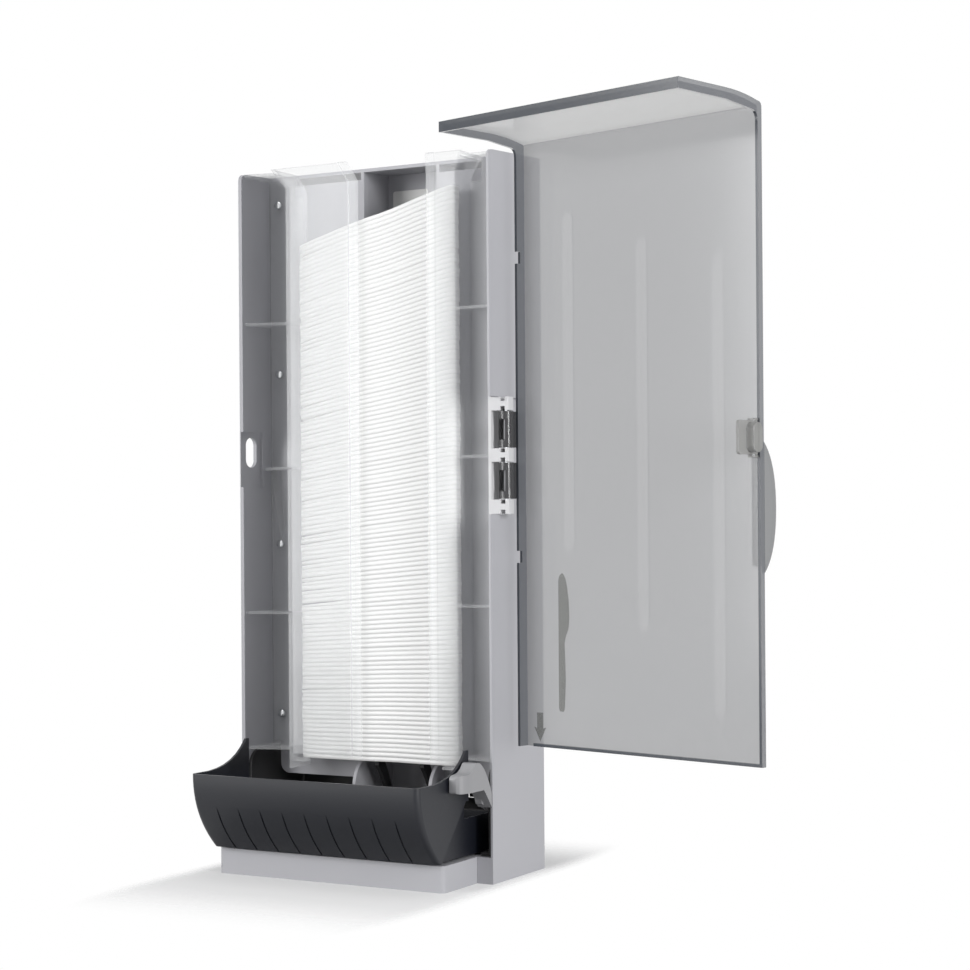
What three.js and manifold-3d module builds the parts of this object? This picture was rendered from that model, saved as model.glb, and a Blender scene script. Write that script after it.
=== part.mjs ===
// A tall gravity-fed knife dispenser for a counter, with its smoke-tinted door standing open.
// Millimetres, +Z up. X runs across the front, Y runs from the front edge of the housing to its back.
// The origin lies on the counter, midway across the housing, under the front edge of its side walls.
import * as THREE from "three";
import { mergeVertices } from "three/addons/utils/BufferGeometryUtils.js";
import Module from "manifold-3d";

const wasm = await Module();
wasm.setup();

// Housing
const HOUSING_WIDTH = 254;
const HOUSING_DEPTH = 92;
const HOUSING_FRONT_HEIGHT = 610;
const HOUSING_TOP_RISE = 4.8;
const HOUSING_WALL = 3.5;
const TOP_CORNER_RADIUS = 7;
const RIGHT_EDGE_THICKNESS = 1.9;
const RIGHT_EDGE_TAPER = 12;
const PLATE_SETBACK = 45;
const PLATE_THICKNESS = 3;
const PLATE_BOTTOM = 75.5;
const PLATE_NARROWING = 7;
const PLATE_NARROW_TOP = 104;
const PLATE_CORNER_RADIUS = 9;
const PLATE_TOP_DROP = 9.5;
const ROOF_THICKNESS = 3;
const BACK_RIB_COUNT = 2;
const BACK_RIB_THICKNESS = 2.5;
const BACK_RIB_DEPTH = 38;

// Recess behind the knives, and the chute ribs that carry on from its sides
const RECESS_LEFT = -23.5;
const RECESS_RIGHT = 50.5;
const RECESS_DEPTH = 41;
const RECESS_WALL = 3;
const RECESS_BOTTOM = 58;
const CHUTE_RADIUS = 24;
const CHUTE_REACH = 21;
const CHUTE_CENTRE_HEIGHT = 70;

// Base
const BASE_HEIGHT = 22;
const BASE_INSET = 15;
const BASE_PROJECTION = 55;
const BASE_CORNER_RADIUS = 4;

// Gaps
const SEAT_GAP = 0.3;
const OVERRUN = 5;
const JOIN_OVERLAP = 0.02;

// Clear magazine
const MAGAZINE_HALF_WIDTH = 86.5;
const MAGAZINE_FRONT = 15;
const MAGAZINE_WALL = 2.5;
const MAGAZINE_RISE = 2.5;
const FLARE_HEIGHT = 16;
const FLARE_OUT = 10;
const FLARE_FORWARD = 9;
const LEFT_GAP_EDGE = -12;
const RIGHT_GAP_EDGE = 59.3;
const GAP_FLARE = 4.5;
const LIP_WIDTH = 8;
const LIP_PROUD = 2.4;
const MAGAZINE_SIDE_BOTTOM = 84;
const LEFT_FRONT_BOTTOM = 97.2;
const RIGHT_FRONT_BOTTOM = 98;
const FLANGE_THICKNESS = 2.5;
const GUSSET_COUNT = 5;
const GUSSET_LOWEST = 100.2;
const LEFT_GUSSET_SECOND = 220;
const LEFT_GUSSET_BELOW_TOP = 134.4;
const RIGHT_GUSSET_SECOND = 228.6;
const RIGHT_GUSSET_BELOW_TOP = 130.2;
const GUSSET_THICKNESS = 2.5;
const LEFT_GUSSET_FRONT = 3.5;
const RIGHT_GUSSET_FRONT = 10;
const LEDGE_REACH = 14;
const LEDGE_BACK = 24;
const LEDGE_THICKNESS = 2.4;

// Pan head screws
const SCREW_COUNT = 4;
const SCREW_FROM_SIDE = 14;
const SCREW_LOWEST = 129.3;
const SCREW_BELOW_TOP = 23.3;
const SCREW_RADIUS = 1.9;
const SCREW_HEAD_RADIUS = 3.7;
const SCREW_HEAD_HEIGHT = 2.6;
const SCREW_LENGTH = 12;
const BOSS_RADIUS = 4.2;
const BOSS_LENGTH = 9;

// Knives
const KNIFE_COUNT = 120;
const BUNDLE_COUNT = 3;
const BLADE_END = -80.5;
const HANDLE_END = 80;
const KNIFE_FRONT = 19;
const KNIFE_WIDTH = 22;
const HANDLE_THICKNESS = 3.8;
const BLADE_THICKNESS = 1.9;
const HANDLE_PITCH = 4.12;
const BLADE_PITCH = 3.77;
const STACK_HANDLE_BOTTOM = 93.3;
const STACK_BLADE_BOTTOM = STACK_HANDLE_BOTTOM;
const BLADE_GROOVE = 3;
const HANDLE_GROOVE = 1;

// Door, given where it lies when shut
const DOOR_FREE_CLEARANCE = 7;
const DOOR_HINGE_OVERHANG = 3;
const DOOR_FRONT = -3.1;
const DOOR_RISE = 9.5;
const DOOR_BOTTOM = 112.5;
const DOOR_WALL = 2.5;
const ROOF_REACH = 101.1;
const ROOF_LIP = 8.5;
const ROOF_DROP = 4.5;
const ROOF_CROWN = 45;
const HINGE_FLANGE = 12;
const FREE_FLANGE = 5;
const BOTTOM_FLANGE_STEP = 4.4;
const DOOR_CORNER_RADIUS = 5;
const LIP_FILLET = 8;
const DOOR_OPEN_ANGLE = 165.5;
const FLUTE_WIDTH = 11.5;
const FLUTE_HEIGHT = 0.7;
const NOTCH_WIDTH = 4;
const NOTCH_HEIGHT = 10;

// Hinge
const PIN_OUTSET = 4.5;
const PIN_Y = 19.5;
const PIN_RADIUS = 1.3;
const PIN_SPAN = 36;
const SLEEVE_RADIUS = 2.6;
const SLEEVE_LENGTH = 16.8;
const RUNNING_GAP = 0.35;
const BARREL_RADIUS = 6.3;
const ARM_HEIGHT = 30.2;
const ARM_STRAP = 2.4;
const ARM_OVERLAP = 6;
const KNUCKLE_HEIGHT = 6.4;
const WINDOW_WIDTH = 7.4;
const UPPER_ARM_BOTTOM = 362.6;
const LOWER_ARM_BOTTOM = 319.8;
const BRACKET_BOTTOM = 307.2;
const BRACKET_TOP = 404.8;
const BRACKET_FRONT = 13.2;
const BRACKET_BACK = 27;
const STRIP_THICKNESS = 5.2;
const STRIP_STEP = 2.4;
const STRIP_OVERHANG = 7;
const LUG_REACH = 5.6;
const LUG_FRONT_RADIUS = 1;
const LUG_BACK_RADIUS = 6;
const ARM_FRONT_INSET = 1;
const PIN_NOTCH = 4.6;
const PIN_NOTCH_DEPTH = 3.4;
const ARM_GAP = 0.7;
const CUTOUT_DEPTH = 58;

// Door latch, and the slot, ramp and stop rib that take it in the left wall
const SLOT_CENTRE_HEIGHT = 363.5;
const SLOT_CENTRE_DEPTH = 13.4;
const SLOT_WIDTH = 13.6;
const SLOT_HEIGHT = 26.6;
const LATCH_THICKNESS = 2.4;
const LATCH_HEIGHT = 26;
const LATCH_REACH = 31.7;
const BOSS_CLEARANCE = 0.9;
const LATCH_ENGAGEMENT = -0.15;
const LATCH_PIN_RADIUS = 1.1;
const LATCH_HUB_RADIUS = 2.6;
const LATCH_EAR = 1.6;
const LATCH_HUB_INSET = 1.3;
const RAMP_HEIGHT = 49;
const RAMP_CENTRE_HEIGHT = 357.2;
const RAMP_BACK = 21;
const RAMP_EDGE = 0.8;
const STOP_RIB_FRONT = 26;
const STOP_RIB_THICKNESS = 2;
const STOP_RIB_PROUD = 2.7;

// Crescent grip on the door
const GRIP_HEIGHT = 100;
const GRIP_CENTRE_HEIGHT = 310.5;
const GRIP_PROJECTION = 15;
const GRIP_THICKNESS = 3;
const GRIP_FOOT = 12;

// Catch tray
const TRAY_SIDE_INSET = 15;
const TRAY_BOTTOM = 24;
const TRAY_RIM = 89.5;
const TRAY_BACK = 35.8;
const TRAY_BACK_HEIGHT = 55;
const TRAY_WALL = 2.4;
const TRAY_FRONT = -95;
const TRAY_TOE = -63;
const TRAY_CORNER = 5;
const TRAY_INSET = 4.5;
const HORN_TOP = 112;
const HORN_FRONT = -17.5;
const HORN_BACK = -13.7;
const HORN_START = -70;
const HORN_SWEEP = 16.5;
const HORN_LEAD = 1.5;
const GROOVE_COUNT = 9;
const GROOVE_PITCH = 22;
const GROOVE_FIRST = -88;
const GROOVE_WIDTH = 1.5;
const GROOVE_DEPTH = 0.9;
const GROOVE_TOP = 63;
const RUNNER_WIDTH = 4;
const RUNNER_SPACING = 150;
const TRAY_TRAVEL = 90;

// Dispensing mechanism
const SHAFT_Y = 60;
const SHAFT_Z = 40;
const SHAFT_RADIUS = 4;
const SHAFT_END_GAP = 1.3;
const HUB_RADIUS = 6.4;
const BUSH_RADIUS = 6.6;
const BUSH_LENGTH = 7;
const BEARING_INSET = 20.3;
const BEARING_THICKNESS = 5;
const BEARING_HALF_WIDTH = 8.8;
const FINGER_WIDTH = 4;
const FINGER_TOP = 95.8;
const FINGER_REACH = 7;
const FINGER_TIP = 8;
const LEFT_FINGER_X = -10;
const RIGHT_FINGER_X = 36;
const LEVER_TAB_FRONT = -48;
const LEVER_TAB_BOTTOM = 80;
const LEVER_PEAK = 103.5;
const LEVER_TRAY_GAP = 1.5;
const LEVER_CHEEK_GAP = 0.6;
const LEVER_SIDE_INSET = 0.2;
const LEVER_NOSE_LENGTH = 15;
const LEVER_NOSE_FLAT = 3;
const LEVER_WALL_GAP = 0.8;
const CHEEK_THICKNESS = 2.9;
const CHEEK_FRONT = 5;
const CHEEK_CORNER = 15;
const CHEEK_TRAY_GAP = 1;
const POST_CHAMFER = 2;
const MECHANISM_FLOOR = 3;
const MECHANISM_FRONT = 39;
const COVER_TOP = 55;
const COVER_THICKNESS = 2.4;
const SPRING_FROM_BEARING = 28;
const SPRING_WIRE = 0.8;
const SPRING_TURNS = 6;
const SPRING_PITCH = 2.4;
const SPRING_CLEARANCE = 1.2;

// Label plate in the recess
const LABEL_LEFT = -18;
const LABEL_WIDTH = 36;
const LABEL_HEIGHT = 23;
const LABEL_BELOW_TOP = 13;
const LABEL_THICKNESS = 0.8;
const LABEL_RADIUS = 2;

// Sizes that follow from the driving ones
const halfWidth = HOUSING_WIDTH / 2;
const footWallFront = HOUSING_DEPTH - HOUSING_WALL;
const innerHalf = halfWidth - HOUSING_WALL;
const housingBackHeight = HOUSING_FRONT_HEIGHT + HOUSING_TOP_RISE;
const magazineTop = HOUSING_FRONT_HEIGHT + MAGAZINE_RISE;
const doorTop = housingBackHeight + DOOR_RISE;
const doorHingeEdge = halfWidth + DOOR_HINGE_OVERHANG;
const doorWidth = doorHingeEdge + innerHalf - DOOR_FREE_CLEARANCE;
const pinX = halfWidth + PIN_OUTSET;
const trayHalfWidth = halfWidth - TRAY_SIDE_INSET;
const cheekOuter = innerHalf - SEAT_GAP;
const cheekInner = cheekOuter - CHEEK_THICKNESS;
const leverInner = trayHalfWidth + LEVER_TRAY_GAP;
const leverArmOuter = cheekInner - LEVER_CHEEK_GAP;
const leverOuter = halfWidth - LEVER_SIDE_INSET;
const shaftLeft = -cheekInner + SHAFT_END_GAP;
const bearingX = cheekInner - BEARING_INSET;
const springLeft = -bearingX + SPRING_FROM_BEARING;
const plateBack = PLATE_SETBACK + PLATE_THICKNESS;
const recessBack = PLATE_SETBACK + RECESS_DEPTH;
const screwPitch = (HOUSING_FRONT_HEIGHT - SCREW_BELOW_TOP - SCREW_LOWEST) / (SCREW_COUNT - 1);
const flangeFront = PLATE_SETBACK - SEAT_GAP - FLANGE_THICKNESS;
const screwX = halfWidth - SCREW_FROM_SIDE;

// Colours
const housingGrey = { color: 0xb4b4b9, roughness: 0.45, metalness: 0 };
const bracketGrey = { color: 0xd2d2d4, roughness: 0.45, metalness: 0 };
const trayBlack = { color: 0x303136, roughness: 0.5, metalness: 0 };
const mechanismBlack = { color: 0x1d1d1c, roughness: 0.55, metalness: 0 };
const clear = { color: 0xf2f5f6, roughness: 0.08, metalness: 0, transparent: true, opacity: 0.25 };
const smoke = { color: 0x6d6f73, roughness: 0.1, metalness: 0, transparent: true, opacity: 0.5 };
const knifeWhite = { color: 0xf2f2f0, roughness: 0.4, metalness: 0 };
const steel = { color: 0xb9bbbe, roughness: 0.25, metalness: 1 };
const leverGrey = { color: 0xc9cacc, roughness: 0.4, metalness: 0 };
const bushWhite = { color: 0xe9e8e2, roughness: 0.4, metalness: 0 };

// A closed geometry as a solid for cutting and joining.
function solid(geometry) {
  const bare = geometry.clone();
  bare.deleteAttribute("normal");
  bare.deleteAttribute("uv");
  const merged = mergeVertices(bare, 1e-4);
  return new wasm.Manifold(
    new wasm.Mesh({
      numProp: 3,
      vertProperties: new Float32Array(merged.attributes.position.array),
      triVerts: new Uint32Array(merged.index.array),
    }),
  );
}

// A solid back as a geometry that a mesh can hold.
function geometryOf(body) {
  const mesh = body.getMesh();
  const geometry = new THREE.BufferGeometry();
  geometry.setAttribute("position", new THREE.BufferAttribute(new Float32Array(mesh.vertProperties), 3));
  geometry.setIndex(new THREE.BufferAttribute(new Uint32Array(mesh.triVerts), 1));
  const flat = geometry.toNonIndexed();
  flat.computeVertexNormals();
  return flat;
}

function union(...bodies) {
  return bodies.reduce((sum, body) => sum.add(body));
}

// A box between two corners.
function box(x0, x1, y0, y1, z0, z1) {
  const geometry = new THREE.BoxGeometry(x1 - x0, y1 - y0, z1 - z0);
  geometry.translate((x0 + x1) / 2, (y0 + y1) / 2, (z0 + z1) / 2);
  return solid(geometry);
}

function extrude(shape, length, curveSegments = 6) {
  return new THREE.ExtrudeGeometry(shape, { depth: length, bevelEnabled: false, curveSegments });
}

// A shape drawn in Y and Z, carried along X.
function alongX(shape, x0, x1, curveSegments) {
  const geometry = extrude(shape, x1 - x0, curveSegments);
  const turn = new THREE.Matrix4().makeBasis(
    new THREE.Vector3(0, 1, 0),
    new THREE.Vector3(0, 0, 1),
    new THREE.Vector3(1, 0, 0),
  );
  geometry.applyMatrix4(turn);
  geometry.translate(x0, 0, 0);
  return solid(geometry);
}

// A shape drawn in X and Z, carried along Y.
function alongY(shape, y0, y1, curveSegments) {
  const geometry = extrude(shape, y1 - y0, curveSegments);
  geometry.rotateX(Math.PI / 2);
  geometry.translate(0, y1, 0);
  return solid(geometry);
}

// A shape drawn in X and Y, carried along Z.
function alongZ(shape, z0, z1, curveSegments) {
  const geometry = extrude(shape, z1 - z0, curveSegments);
  geometry.translate(0, 0, z0);
  return solid(geometry);
}

function polygon(points) {
  return new THREE.Shape(points.map(([u, v]) => new THREE.Vector2(u, v)));
}

// A rectangle with four corner radii: lower left, lower right, upper right, upper left.
function roundedRectangle(u0, u1, v0, v1, radii) {
  const [a, b, c, d] = radii;
  const shape = new THREE.Shape();
  shape.moveTo(u0 + a, v0);
  shape.lineTo(u1 - b, v0);
  if (b > 0) shape.absarc(u1 - b, v0 + b, b, -Math.PI / 2, 0);
  shape.lineTo(u1, v1 - c);
  if (c > 0) shape.absarc(u1 - c, v1 - c, c, 0, Math.PI / 2);
  shape.lineTo(u0 + d, v1);
  if (d > 0) shape.absarc(u0 + d, v1 - d, d, Math.PI / 2, Math.PI);
  shape.lineTo(u0, v0 + a);
  if (a > 0) shape.absarc(u0 + a, v0 + a, a, Math.PI, 1.5 * Math.PI);
  return shape;
}

function cylinderX(radius, x0, x1, y, z, sides = 20) {
  const geometry = new THREE.CylinderGeometry(radius, radius, x1 - x0, sides);
  geometry.rotateZ(Math.PI / 2);
  geometry.translate((x0 + x1) / 2, y, z);
  return solid(geometry);
}

function cylinderY(radius, y0, y1, x, z, sides = 16) {
  const geometry = new THREE.CylinderGeometry(radius, radius, y1 - y0, sides);
  geometry.translate(x, (y0 + y1) / 2, z);
  return solid(geometry);
}

function cylinderZ(radius, z0, z1, x, y, sides = 20) {
  const geometry = new THREE.CylinderGeometry(radius, radius, z1 - z0, sides);
  geometry.rotateX(Math.PI / 2);
  geometry.translate(x, y, (z0 + z1) / 2);
  return solid(geometry);
}

// A solid through stacked rings of points, each ring with as many points as the next, first ring lowest,
// each drawn anticlockwise as seen from above.
function loft(rings) {
  const count = rings[0].length;
  const positions = rings.flat().flatMap((p) => [p.x, p.y, p.z]);
  const index = [];
  for (let level = 0; level + 1 < rings.length; level += 1) {
    for (let i = 0; i < count; i += 1) {
      const a = level * count + i;
      const b = level * count + ((i + 1) % count);
      index.push(a, b, b + count, a, b + count, a + count);
    }
  }
  const flatRing = rings[0].map((p) => new THREE.Vector2(p.x, p.y));
  const last = (rings.length - 1) * count;
  for (const [a, b, c] of THREE.ShapeUtils.triangulateShape(flatRing, [])) {
    index.push(a, c, b);
    index.push(last + a, last + b, last + c);
  }
  const geometry = new THREE.BufferGeometry();
  geometry.setAttribute("position", new THREE.Float32BufferAttribute(positions, 3));
  geometry.setIndex(index);
  return solid(geometry);
}

const root = new THREE.Group();

function place(name, body, finish, parent = root) {
  const mesh = new THREE.Mesh(geometryOf(body), new THREE.MeshStandardMaterial(finish));
  mesh.name = name;
  parent.add(mesh);
  return mesh;
}

// The height of the housing's top edge at a depth behind its front edge.
function housingTopAt(y) {
  return HOUSING_FRONT_HEIGHT + ((housingBackHeight - HOUSING_FRONT_HEIGHT) * y) / HOUSING_DEPTH;
}

// The sloping top profile of a side wall, in Y and Z.
function sideWallShape() {
  const shape = new THREE.Shape();
  shape.moveTo(0, 0);
  shape.lineTo(HOUSING_DEPTH, 0);
  shape.lineTo(HOUSING_DEPTH, housingBackHeight);
  shape.lineTo(TOP_CORNER_RADIUS, housingTopAt(TOP_CORNER_RADIUS));
  shape.quadraticCurveTo(0, HOUSING_FRONT_HEIGHT, 0, HOUSING_FRONT_HEIGHT - TOP_CORNER_RADIUS);
  return shape;
}

// A recess side with the rounded chute rib that guides a knife down into the tray, in Y and Z.
function recessSideShape() {
  const shape = new THREE.Shape();
  const centre = PLATE_SETBACK - CHUTE_REACH + CHUTE_RADIUS;
  const top = CHUTE_CENTRE_HEIGHT + Math.sqrt(CHUTE_RADIUS ** 2 - (centre - PLATE_SETBACK) ** 2);
  const topAngle = Math.PI - Math.acos((centre - PLATE_SETBACK) / CHUTE_RADIUS);
  shape.moveTo(recessBack + RECESS_WALL, RECESS_BOTTOM);
  shape.lineTo(recessBack + RECESS_WALL, housingTopAt(recessBack) - ROOF_THICKNESS / 2);
  shape.lineTo(PLATE_SETBACK, housingTopAt(PLATE_SETBACK) - ROOF_THICKNESS / 2);
  shape.lineTo(PLATE_SETBACK, top);
  shape.absarc(centre, CHUTE_CENTRE_HEIGHT, CHUTE_RADIUS, topAngle, Math.PI, false);
  shape.lineTo(centre - CHUTE_RADIUS, RECESS_BOTTOM);
  return shape;
}

// One moulding: side walls, stepped screw plate, central recess, roof strip and foot blocks.
function rearHousing() {
  const wall = sideWallShape();
  const left = alongX(wall, -halfWidth, -innerHalf);
  const right = alongX(wall, innerHalf, halfWidth);
  const plateTop = housingTopAt(PLATE_SETBACK) - ROOF_THICKNESS / 2;
  const plate = box(-innerHalf, innerHalf, PLATE_SETBACK, plateBack, PLATE_NARROW_TOP, plateTop);
  const apronHalf = innerHalf - PLATE_NARROWING;
  const apron = alongY(
    roundedRectangle(-apronHalf, apronHalf, PLATE_BOTTOM, PLATE_NARROW_TOP + OVERRUN, [
      PLATE_CORNER_RADIUS,
      PLATE_CORNER_RADIUS,
      0,
      0,
    ]),
    PLATE_SETBACK,
    plateBack,
  );
  const roofShape = polygon([
    [PLATE_SETBACK, housingTopAt(PLATE_SETBACK) - ROOF_THICKNESS],
    [HOUSING_DEPTH, housingBackHeight - ROOF_THICKNESS],
    [HOUSING_DEPTH, housingBackHeight],
    [PLATE_SETBACK, housingTopAt(PLATE_SETBACK)],
  ]);
  const roof = alongX(roofShape, -innerHalf, innerHalf);
  const side = recessSideShape();
  const recessLeft = alongX(side, RECESS_LEFT - RECESS_WALL, RECESS_LEFT, 8);
  const recessRight = alongX(side, RECESS_RIGHT, RECESS_RIGHT + RECESS_WALL, 8);
  const recessRear = box(
    RECESS_LEFT - RECESS_WALL,
    RECESS_RIGHT + RECESS_WALL,
    recessBack,
    recessBack + RECESS_WALL,
    RECESS_BOTTOM,
    housingTopAt(recessBack) - ROOF_THICKNESS / 2,
  );
  const blockInner = halfWidth - BASE_INSET + SEAT_GAP;
  const leftFoot = box(-halfWidth, -blockInner, 0, HOUSING_DEPTH, 0, BASE_HEIGHT);
  const rightFoot = box(blockInner, halfWidth, 0, HOUSING_DEPTH, 0, BASE_HEIGHT);
  const footWall = box(-innerHalf, innerHalf, footWallFront, HOUSING_DEPTH, 0, BASE_HEIGHT);
  let body = union(left, right, plate, apron, roof, leftFoot, rightFoot, footWall);

  const recessCut = box(
    RECESS_LEFT,
    RECESS_RIGHT,
    PLATE_SETBACK - OVERRUN,
    plateBack + OVERRUN,
    RECESS_BOTTOM,
    plateTop - ROOF_THICKNESS / 2,
  );
  const topNotchHalf = MAGAZINE_HALF_WIDTH + FLARE_OUT;
  const notchBottom = housingTopAt(PLATE_SETBACK) - PLATE_TOP_DROP;
  const topNotch = box(
    -topNotchHalf,
    topNotchHalf,
    PLATE_SETBACK - OVERRUN,
    plateBack + OVERRUN,
    notchBottom,
    housingTopAt(PLATE_SETBACK) - ROOF_THICKNESS,
  );
  body = body.subtract(recessCut).subtract(topNotch);
  body = union(body, recessLeft, recessRight, recessRear);

  for (let i = 1; i <= BACK_RIB_COUNT; i += 1) {
    const z = PLATE_NARROW_TOP + ((plateTop - PLATE_NARROW_TOP) * i) / (BACK_RIB_COUNT + 1);
    const ribTop = z + BACK_RIB_THICKNESS;
    const ribBack = PLATE_SETBACK + BACK_RIB_DEPTH;
    body = body.add(box(-innerHalf - JOIN_OVERLAP, RECESS_LEFT - RECESS_WALL / 2, plateBack - JOIN_OVERLAP, ribBack, z, ribTop));
    body = body.add(box(RECESS_RIGHT + RECESS_WALL / 2, innerHalf + JOIN_OVERLAP, plateBack - JOIN_OVERLAP, ribBack, z, ribTop));
  }

  for (let i = 0; i < SCREW_COUNT; i += 1) {
    const z = SCREW_LOWEST + i * screwPitch;
    for (const x of [-screwX, screwX]) {
      body = body.add(cylinderY(BOSS_RADIUS, plateBack - JOIN_OVERLAP, plateBack + BOSS_LENGTH, x, z, 12));
      const hole = SCREW_RADIUS + SEAT_GAP;
      body = body.subtract(cylinderY(hole, PLATE_SETBACK - OVERRUN, plateBack + BOSS_LENGTH + OVERRUN, x, z, 10));
    }
  }

  const hingeCut = box(
    innerHalf - OVERRUN / 2,
    halfWidth + OVERRUN,
    -OVERRUN,
    PLATE_SETBACK,
    BRACKET_BOTTOM - SEAT_GAP,
    BRACKET_TOP + SEAT_GAP,
  );
  const sightCut = box(
    innerHalf + JOIN_OVERLAP,
    halfWidth + OVERRUN,
    PLATE_SETBACK - OVERRUN,
    CUTOUT_DEPTH,
    BRACKET_BOTTOM - SEAT_GAP,
    BRACKET_TOP + SEAT_GAP,
  );
  const slot = alongX(
    roundedRectangle(
      SLOT_CENTRE_DEPTH - SLOT_WIDTH / 2,
      SLOT_CENTRE_DEPTH + SLOT_WIDTH / 2,
      SLOT_CENTRE_HEIGHT - SLOT_HEIGHT / 2,
      SLOT_CENTRE_HEIGHT + SLOT_HEIGHT / 2,
      [SLOT_WIDTH / 2, SLOT_WIDTH / 2, SLOT_WIDTH / 2, SLOT_WIDTH / 2],
    ),
    -halfWidth - OVERRUN,
    -innerHalf + OVERRUN / 2,
  );
  body = body.subtract(hingeCut).subtract(sightCut).subtract(latchRamp());
  const rib = box(
    -innerHalf - JOIN_OVERLAP,
    -innerHalf + STOP_RIB_PROUD,
    STOP_RIB_FRONT,
    STOP_RIB_FRONT + STOP_RIB_THICKNESS,
    RAMP_CENTRE_HEIGHT - RAMP_HEIGHT / 2,
    RAMP_CENTRE_HEIGHT + RAMP_HEIGHT / 2,
  );
  return body.add(rib).subtract(slot).subtract(rightEdgeTaper());
}

// What is cut from the right wall's inner face so that it thins towards its front edge.
function rightEdgeTaper() {
  const wedge = polygon([
    [innerHalf - OVERRUN, -OVERRUN],
    [halfWidth - RIGHT_EDGE_THICKNESS, -OVERRUN],
    [halfWidth - RIGHT_EDGE_THICKNESS, 0],
    [innerHalf, RIGHT_EDGE_TAPER],
    [innerHalf - OVERRUN, RIGHT_EDGE_TAPER],
  ]);
  return alongZ(wedge, BASE_HEIGHT, housingBackHeight + OVERRUN);
}

// What is cut from the left wall's front edge so that the latch rides up into its slot.
function latchRamp() {
  const wedge = polygon([
    [-halfWidth + RAMP_EDGE, -OVERRUN],
    [-innerHalf + OVERRUN, -OVERRUN],
    [-innerHalf + OVERRUN, RAMP_BACK],
    [-innerHalf, RAMP_BACK],
    [-halfWidth + RAMP_EDGE, 0],
  ]);
  return alongZ(wedge, RAMP_CENTRE_HEIGHT - RAMP_HEIGHT / 2, RAMP_CENTRE_HEIGHT + RAMP_HEIGHT / 2);
}

// The foot that reaches out in front under the tray.
function basePlinth() {
  const half = halfWidth - BASE_INSET;
  const outline = roundedRectangle(-half, half, -BASE_PROJECTION, footWallFront - SEAT_GAP, [
    BASE_CORNER_RADIUS,
    BASE_CORNER_RADIUS,
    0,
    0,
  ]);
  return alongZ(outline, 0, BASE_HEIGHT, 4);
}

// The black moulding that lines the foot of the housing and carries the shaft.
function mechanismBase() {
  const outer = cheekOuter;
  const inner = cheekInner;
  const bottom = BASE_HEIGHT + SEAT_GAP;
  const floorTop = bottom + MECHANISM_FLOOR;
  const backFace = footWallFront - SEAT_GAP;
  const cheekTop = GUSSET_LOWEST - SEAT_GAP;
  const cheek = roundedRectangle(CHEEK_FRONT, backFace, bottom, cheekTop, [0, 0, 0, CHEEK_CORNER]);
  let body = union(
    alongX(cheek, -outer, -inner, 5),
    alongX(cheek, inner, outer, 5),
    box(-outer, outer, MECHANISM_FRONT, backFace, bottom, floorTop),
    box(-outer, outer, backFace - MECHANISM_FLOOR, backFace, bottom, RECESS_BOTTOM - SEAT_GAP),
    box(-outer, -trayHalfWidth - CHEEK_TRAY_GAP, CHEEK_FRONT, backFace, bottom, floorTop),
    box(trayHalfWidth + CHEEK_TRAY_GAP, outer, CHEEK_FRONT, backFace, bottom, floorTop),
  );
  for (const side of [-1, 1]) {
    const x = side * bearingX;
    const post = new THREE.Shape();
    const foot = floorTop - MECHANISM_FLOOR / 2;
    post.moveTo(SHAFT_Y - BEARING_HALF_WIDTH + POST_CHAMFER, foot);
    post.lineTo(SHAFT_Y + BEARING_HALF_WIDTH, foot);
    post.lineTo(SHAFT_Y + BEARING_HALF_WIDTH, SHAFT_Z);
    post.absarc(SHAFT_Y, SHAFT_Z, BEARING_HALF_WIDTH, 0, Math.PI);
    post.lineTo(SHAFT_Y - BEARING_HALF_WIDTH, SHAFT_Z);
    body = body.add(alongX(post, x - BEARING_THICKNESS / 2, x + BEARING_THICKNESS / 2, 8));
    const hole = BUSH_RADIUS + SEAT_GAP;
    body = body.subtract(cylinderX(hole, x - BEARING_THICKNESS, x + BEARING_THICKNESS, SHAFT_Y, SHAFT_Z));
  }
  return body;
}

function mechanismCover() {
  const half = bearingX;
  const bottom = BASE_HEIGHT + SEAT_GAP + MECHANISM_FLOOR + SEAT_GAP;
  const front = MECHANISM_FRONT + SEAT_GAP;
  return box(-half, half, front, front + COVER_THICKNESS, bottom, COVER_TOP);
}

// The underside of a gusset: the lowest and highest close the side bays, the others are evenly spaced
// between the second one and the last but one.
function gussetHeight(side, i) {
  if (i === 0) return GUSSET_LOWEST;
  if (i === GUSSET_COUNT - 1) return HOUSING_FRONT_HEIGHT - GUSSET_THICKNESS;
  const second = side < 0 ? LEFT_GUSSET_SECOND : RIGHT_GUSSET_SECOND;
  const belowTop = side < 0 ? LEFT_GUSSET_BELOW_TOP : RIGHT_GUSSET_BELOW_TOP;
  const pitch = (HOUSING_FRONT_HEIGHT - belowTop - second) / (GUSSET_COUNT - 3);
  return second + (i - 1) * pitch;
}

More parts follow.
